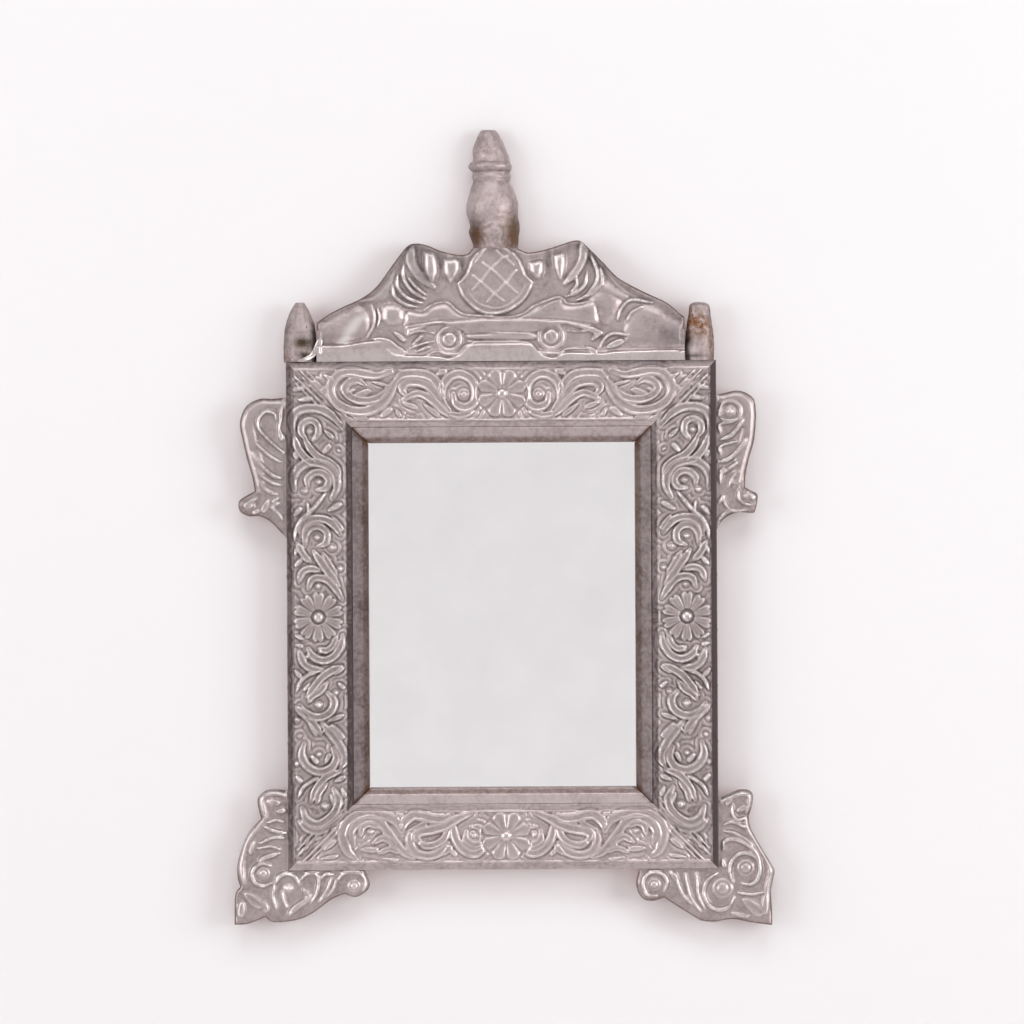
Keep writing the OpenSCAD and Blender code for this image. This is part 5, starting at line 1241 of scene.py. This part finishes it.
left_foot_strokes = [
    (2.6, 2.2, [(1, 74), (12, 77), (23, 75), (26, 68), (24, 58), (22, 52)]),
    (2.8, 2.0, [(23, 52), (32, 42), (42, 28), (46, 14), (47, 0), (44, -12)]),
    (2.0, 2.8, [(24, 44), (16, 40), (8, 38), (1, 37)]),
    (1.6, 2.4, [(22, 47), (12, 50), (4, 48)]),
    (1.8, 2.6, [(28, 27), (18, 32), (10, 33), (3, 32)]),
    (1.5, 2.4, [(30, 22), (18, 24), (8, 21)]),
    (2.4, 2.8, [(29, 10), (20, 14), (10, 17)]),
    (2.1, 2.8, [(18, 5), (27, 7), (34, 2), (36, -5), (33, -12), (25, -15), (16, -12)]),
    (2.2, 2.8, [(13, -13), (9, -6), (2, -3), (-6, -6), (-11, -14)]),
    (1.8, 2.4, [(14, -14), (15, -27), (12, -38)]),
    (1.5, 2.2, [(6, -20), (5, -30), (1, -37)]),
    (2.8, 2.8, [(0, -44), (-8, -36), (-17, -30), (-22, -24)]),
    (2.0, 2.8, [(-12, -10), (-17, -4), (-26, -2), (-30, -9), (-28, -22), (-22, -32)]),
    (1.6, 2.6, [(-32, -9), (-36, -4), (-44, -4)]),
    (1.8, 2.4, [(-42, -8), (-38, -20), (-30, -31)]),
    (1.6, 2.4, [(-48, -7), (-44, -19), (-36, -27)]),
    (2.1, 2.8, [(-49, -10), (-54, -3), (-62, -1), (-72, -3), (-77, -11), (-74, -20)]),
]
left_foot_leaves = [
    ((18, 70), (8, 66), 2.4), ((44, -22), (26, -36), 4.5), ((46, -30), (48, -46), 3.4), ((24, -30), (22, -42), 2.6),
    ((12, 58), (2, 60), 2.4), ((34, 30), (38, 16), 2.0), ((-14, -18), (-20, -26), 2.6),
]
left_foot_buds = [((25, -3), 4.8), ((-65, -16), 4.6), ((17, 68), 3.6), ((0, -18), 3.6)]
right_foot_strokes = [
    (2.6, 2.2, [(3, 66), (12, 71), (22, 74), (30, 72), (31, 64), (28, 56)]),
    (1.8, 2.8, [(14, 63), (14, 54), (19, 48), (26, 50)]),
    (2.8, 2.0, [(27, 50), (30, 40), (40, 24), (50, 6), (52, -8), (49, -20), (49, -40)]),
    (1.8, 2.5, [(5, 43), (12, 46), (20, 44), (27, 40)]),
    (1.8, 2.6, [(6, 37), (16, 35), (27, 29), (35, 22)]),
    (2.1, 2.8, [(5, 18), (6, 26), (13, 29), (24, 26), (35, 18), (42, 7)]),
    (2.1, 2.8, [(14, -14), (11, -4), (13, 7), (20, 14), (29, 15), (38, 10), (41, 0), (39, -10), (32, -16), (24, -15)]),
    (1.6, 2.4, [(20, -24), (32, -26), (44, -24)]),
    (2.1, 2.8, [(-2, -5), (-11, -12), (-15, -25), (-10, -36), (0, -41), (10, -38), (15, -29)]),
    (1.7, 2.4, [(-22, -4), (-21, -16), (-20, -28), (-14, -40)]),
    (1.7, 2.5, [(-33, -5), (-31, -18), (-27, -30), (-18, -42)]),
    (1.8, 2.6, [(-43, -4), (-40, -16), (-35, -26), (-26, -36)]),
    (2.1, 2.8, [(-54, -22), (-51, -14), (-55, -6), (-64, -3), (-72, -7), (-75, -16), (-71, -25), (-62, -27)]),
]
right_foot_leaves = [
    ((24, -30), (44, -46), 5.0), ((46, -26), (46, -46), 3.0), ((-48, -2), (-42, -12), 2.2), ((8, 62), (13, 70), 2.2),
    ((18, 56), (28, 62), 2.6), ((12, -44), (30, -48), 2.2), ((4, 10), (6, 0), 2.2),
]
right_foot_buds = [((27, 0), 6.4), ((4, -20), 7.6), ((-64, -16), 4.8)]
bracket("left_foot_sheet", left_foot_outline, -1, left_foot_strokes, left_foot_leaves, left_foot_buds, -frame_top, 73)
bracket("right_foot_sheet", right_foot_outline, 1, right_foot_strokes, right_foot_leaves, right_foot_buds, -frame_top,
        74)


# ---------------------------------------------------------------- Strap hangers
# Two stamped straps screwed to the back of the crest board, each with a bent wire ring that swings in its knuckle.
hanger_steel = plain_steel("zinc_plated_steel", "#a9abae", 0.3, 0.0)
for part in ("left_strap", "right_strap", "left_ring", "right_ring"):
    dress(part, hanger_steel)
strap_t, hook_up = 1.2, 40
strap_face, hook_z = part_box("crest_board")[1].y / MM + strap_t, frame_top + hook_up
screws = [(hand * 80, strap_face, hook_z - down) for hand in (-1, 1) for down in (21, 30)]
fasteners("strap_screws", screws, [(0, 1, 0)] * len(screws), hanger_steel, (3.0, 1.6), (1.45, 10.8), sides=10, slot=0.8)


# ---------------------------------------------------------------- Studio
# A white wall close behind the mirror, a pale floor far below, and soft lamps in front, above and at the sides.
def matt_stage(name, code, glow=0.0, glow_code="#ffffff"):
    """Matt paint. glow is what camera, glossy and transmission rays see of it beyond the light that falls on it."""
    finish, tree = new_finish(name)
    paint = add(tree, "ShaderNodeBsdfDiffuse", {"Color": linear(code)}).outputs[0]
    ray = add(tree, "ShaderNodeLightPath").outputs
    seen = add(tree, "ShaderNodeMath", {0: ray["Is Camera Ray"], 1: ray["Is Glossy Ray"]}, operation="ADD",
               use_clamp=True).outputs[0]
    seen = add(tree, "ShaderNodeMath", {0: seen, 1: ray["Is Transmission Ray"]}, operation="ADD",
               use_clamp=True).outputs[0]
    strength = add(tree, "ShaderNodeMath", {0: seen, 1: glow}, operation="MULTIPLY").outputs[0]
    light = add(tree, "ShaderNodeEmission", {"Color": linear(glow_code), "Strength": strength}).outputs[0]
    lit = add(tree, "ShaderNodeAddShader", {0: paint, 1: light}).outputs[0]
    clear = add(tree, "ShaderNodeBsdfTransparent").outputs[0]
    behind = add(tree, "ShaderNodeNewGeometry").outputs["Backfacing"]
    front_only = add(tree, "ShaderNodeMixShader", {0: behind, 1: lit, 2: clear}).outputs[0]
    add(tree, "ShaderNodeOutputMaterial", {"Surface": front_only})
    return finish


def stage_panel(name, corners, finish):
    mesh = bpy.data.meshes.new(name)
    mesh.from_pydata(corners, [], [[0, 1, 2, 3]])
    mesh.materials.append(finish)
    panel = bpy.data.objects.new(name, mesh)
    bpy.context.scene.collection.objects.link(panel)
    return panel


wall_y, floor_z, card_y = 0.0015, -1.1, -3.4
wall = stage_panel("studio_wall", [(-2, wall_y, floor_z), (2, wall_y, floor_z), (2, wall_y, 1.8), (-2, wall_y, 1.8)],
                   matt_stage("wall_emulsion_white", "#ccd3d4", 0.17, "#f8abb1"))
wall.visible_shadow = False  # the lamp behind it lights the mirror's back
stage_panel("studio_floor", [(-2, -4, floor_z), (2, -4, floor_z), (2, 2, floor_z), (-2, 2, floor_z)],
            matt_stage("floor_vinyl_pale", "#dedbd9"))
stage_panel("studio_card", [(0.9, card_y, -0.8), (-0.9, card_y, -0.8), (-0.9, card_y, 1.0), (0.9, card_y, 1.0)],
            matt_stage("card_white", "#e0e0e0", 0.575))

world = bpy.data.worlds.new("studio_grey")
world.use_nodes = True
world.node_tree.nodes["Background"].inputs["Color"].default_value = linear("#b4b2b2")
world.node_tree.nodes["Background"].inputs["Strength"].default_value = 0.4
bpy.context.scene.world = world


def soft_lamp(name, place, aim, size, power):
    lamp = bpy.data.lights.new(name, "AREA")
    lamp.shape, lamp.size, lamp.size_y, lamp.energy = "RECTANGLE", size[0], size[1], power
    holder = bpy.data.objects.new(name, lamp)
    bpy.context.scene.collection.objects.link(holder)
    holder.location = place
    holder.rotation_euler = (Vector(aim) - Vector(place)).to_track_quat("-Z", "Y").to_euler()


soft_lamp("lamp_above", (0, -1.5, 1.7), (0, 0, 0), (2.2, 1.0), 23.5)
soft_lamp("lamp_below", (0, -0.9, -1.0), (0, 0, 0), (2.0, 0.5), 2.4)
soft_lamp("lamp_left", (-2.0, -1.45, 0.3), (0, 0, 0), (1.5, 1.6), 33.2)
soft_lamp("lamp_right", (2.0, -1.45, 0.3), (0, 0, 0), (1.5, 1.6), 40)
soft_lamp("lamp_back", (0.6, 2.0, 1.0), (0, 0, 0), (1.0, 1.0), 20)

camera = bpy.data.cameras.new("camera")
reach_m, view_w, front_y, aim_x, aim_z = 4.4, 0.771, -0.0235, 0.0078, 0.0777
camera.lens = camera.sensor_width * reach_m / view_w
eye = bpy.data.objects.new("camera", camera)
bpy.context.scene.collection.objects.link(eye)
eye.location = (aim_x, front_y - reach_m, aim_z)
eye.rotation_euler = (pi / 2, radians(0.3), 0)
bpy.context.scene.camera = eye

bpy.context.scene.view_settings.view_transform = "Standard"
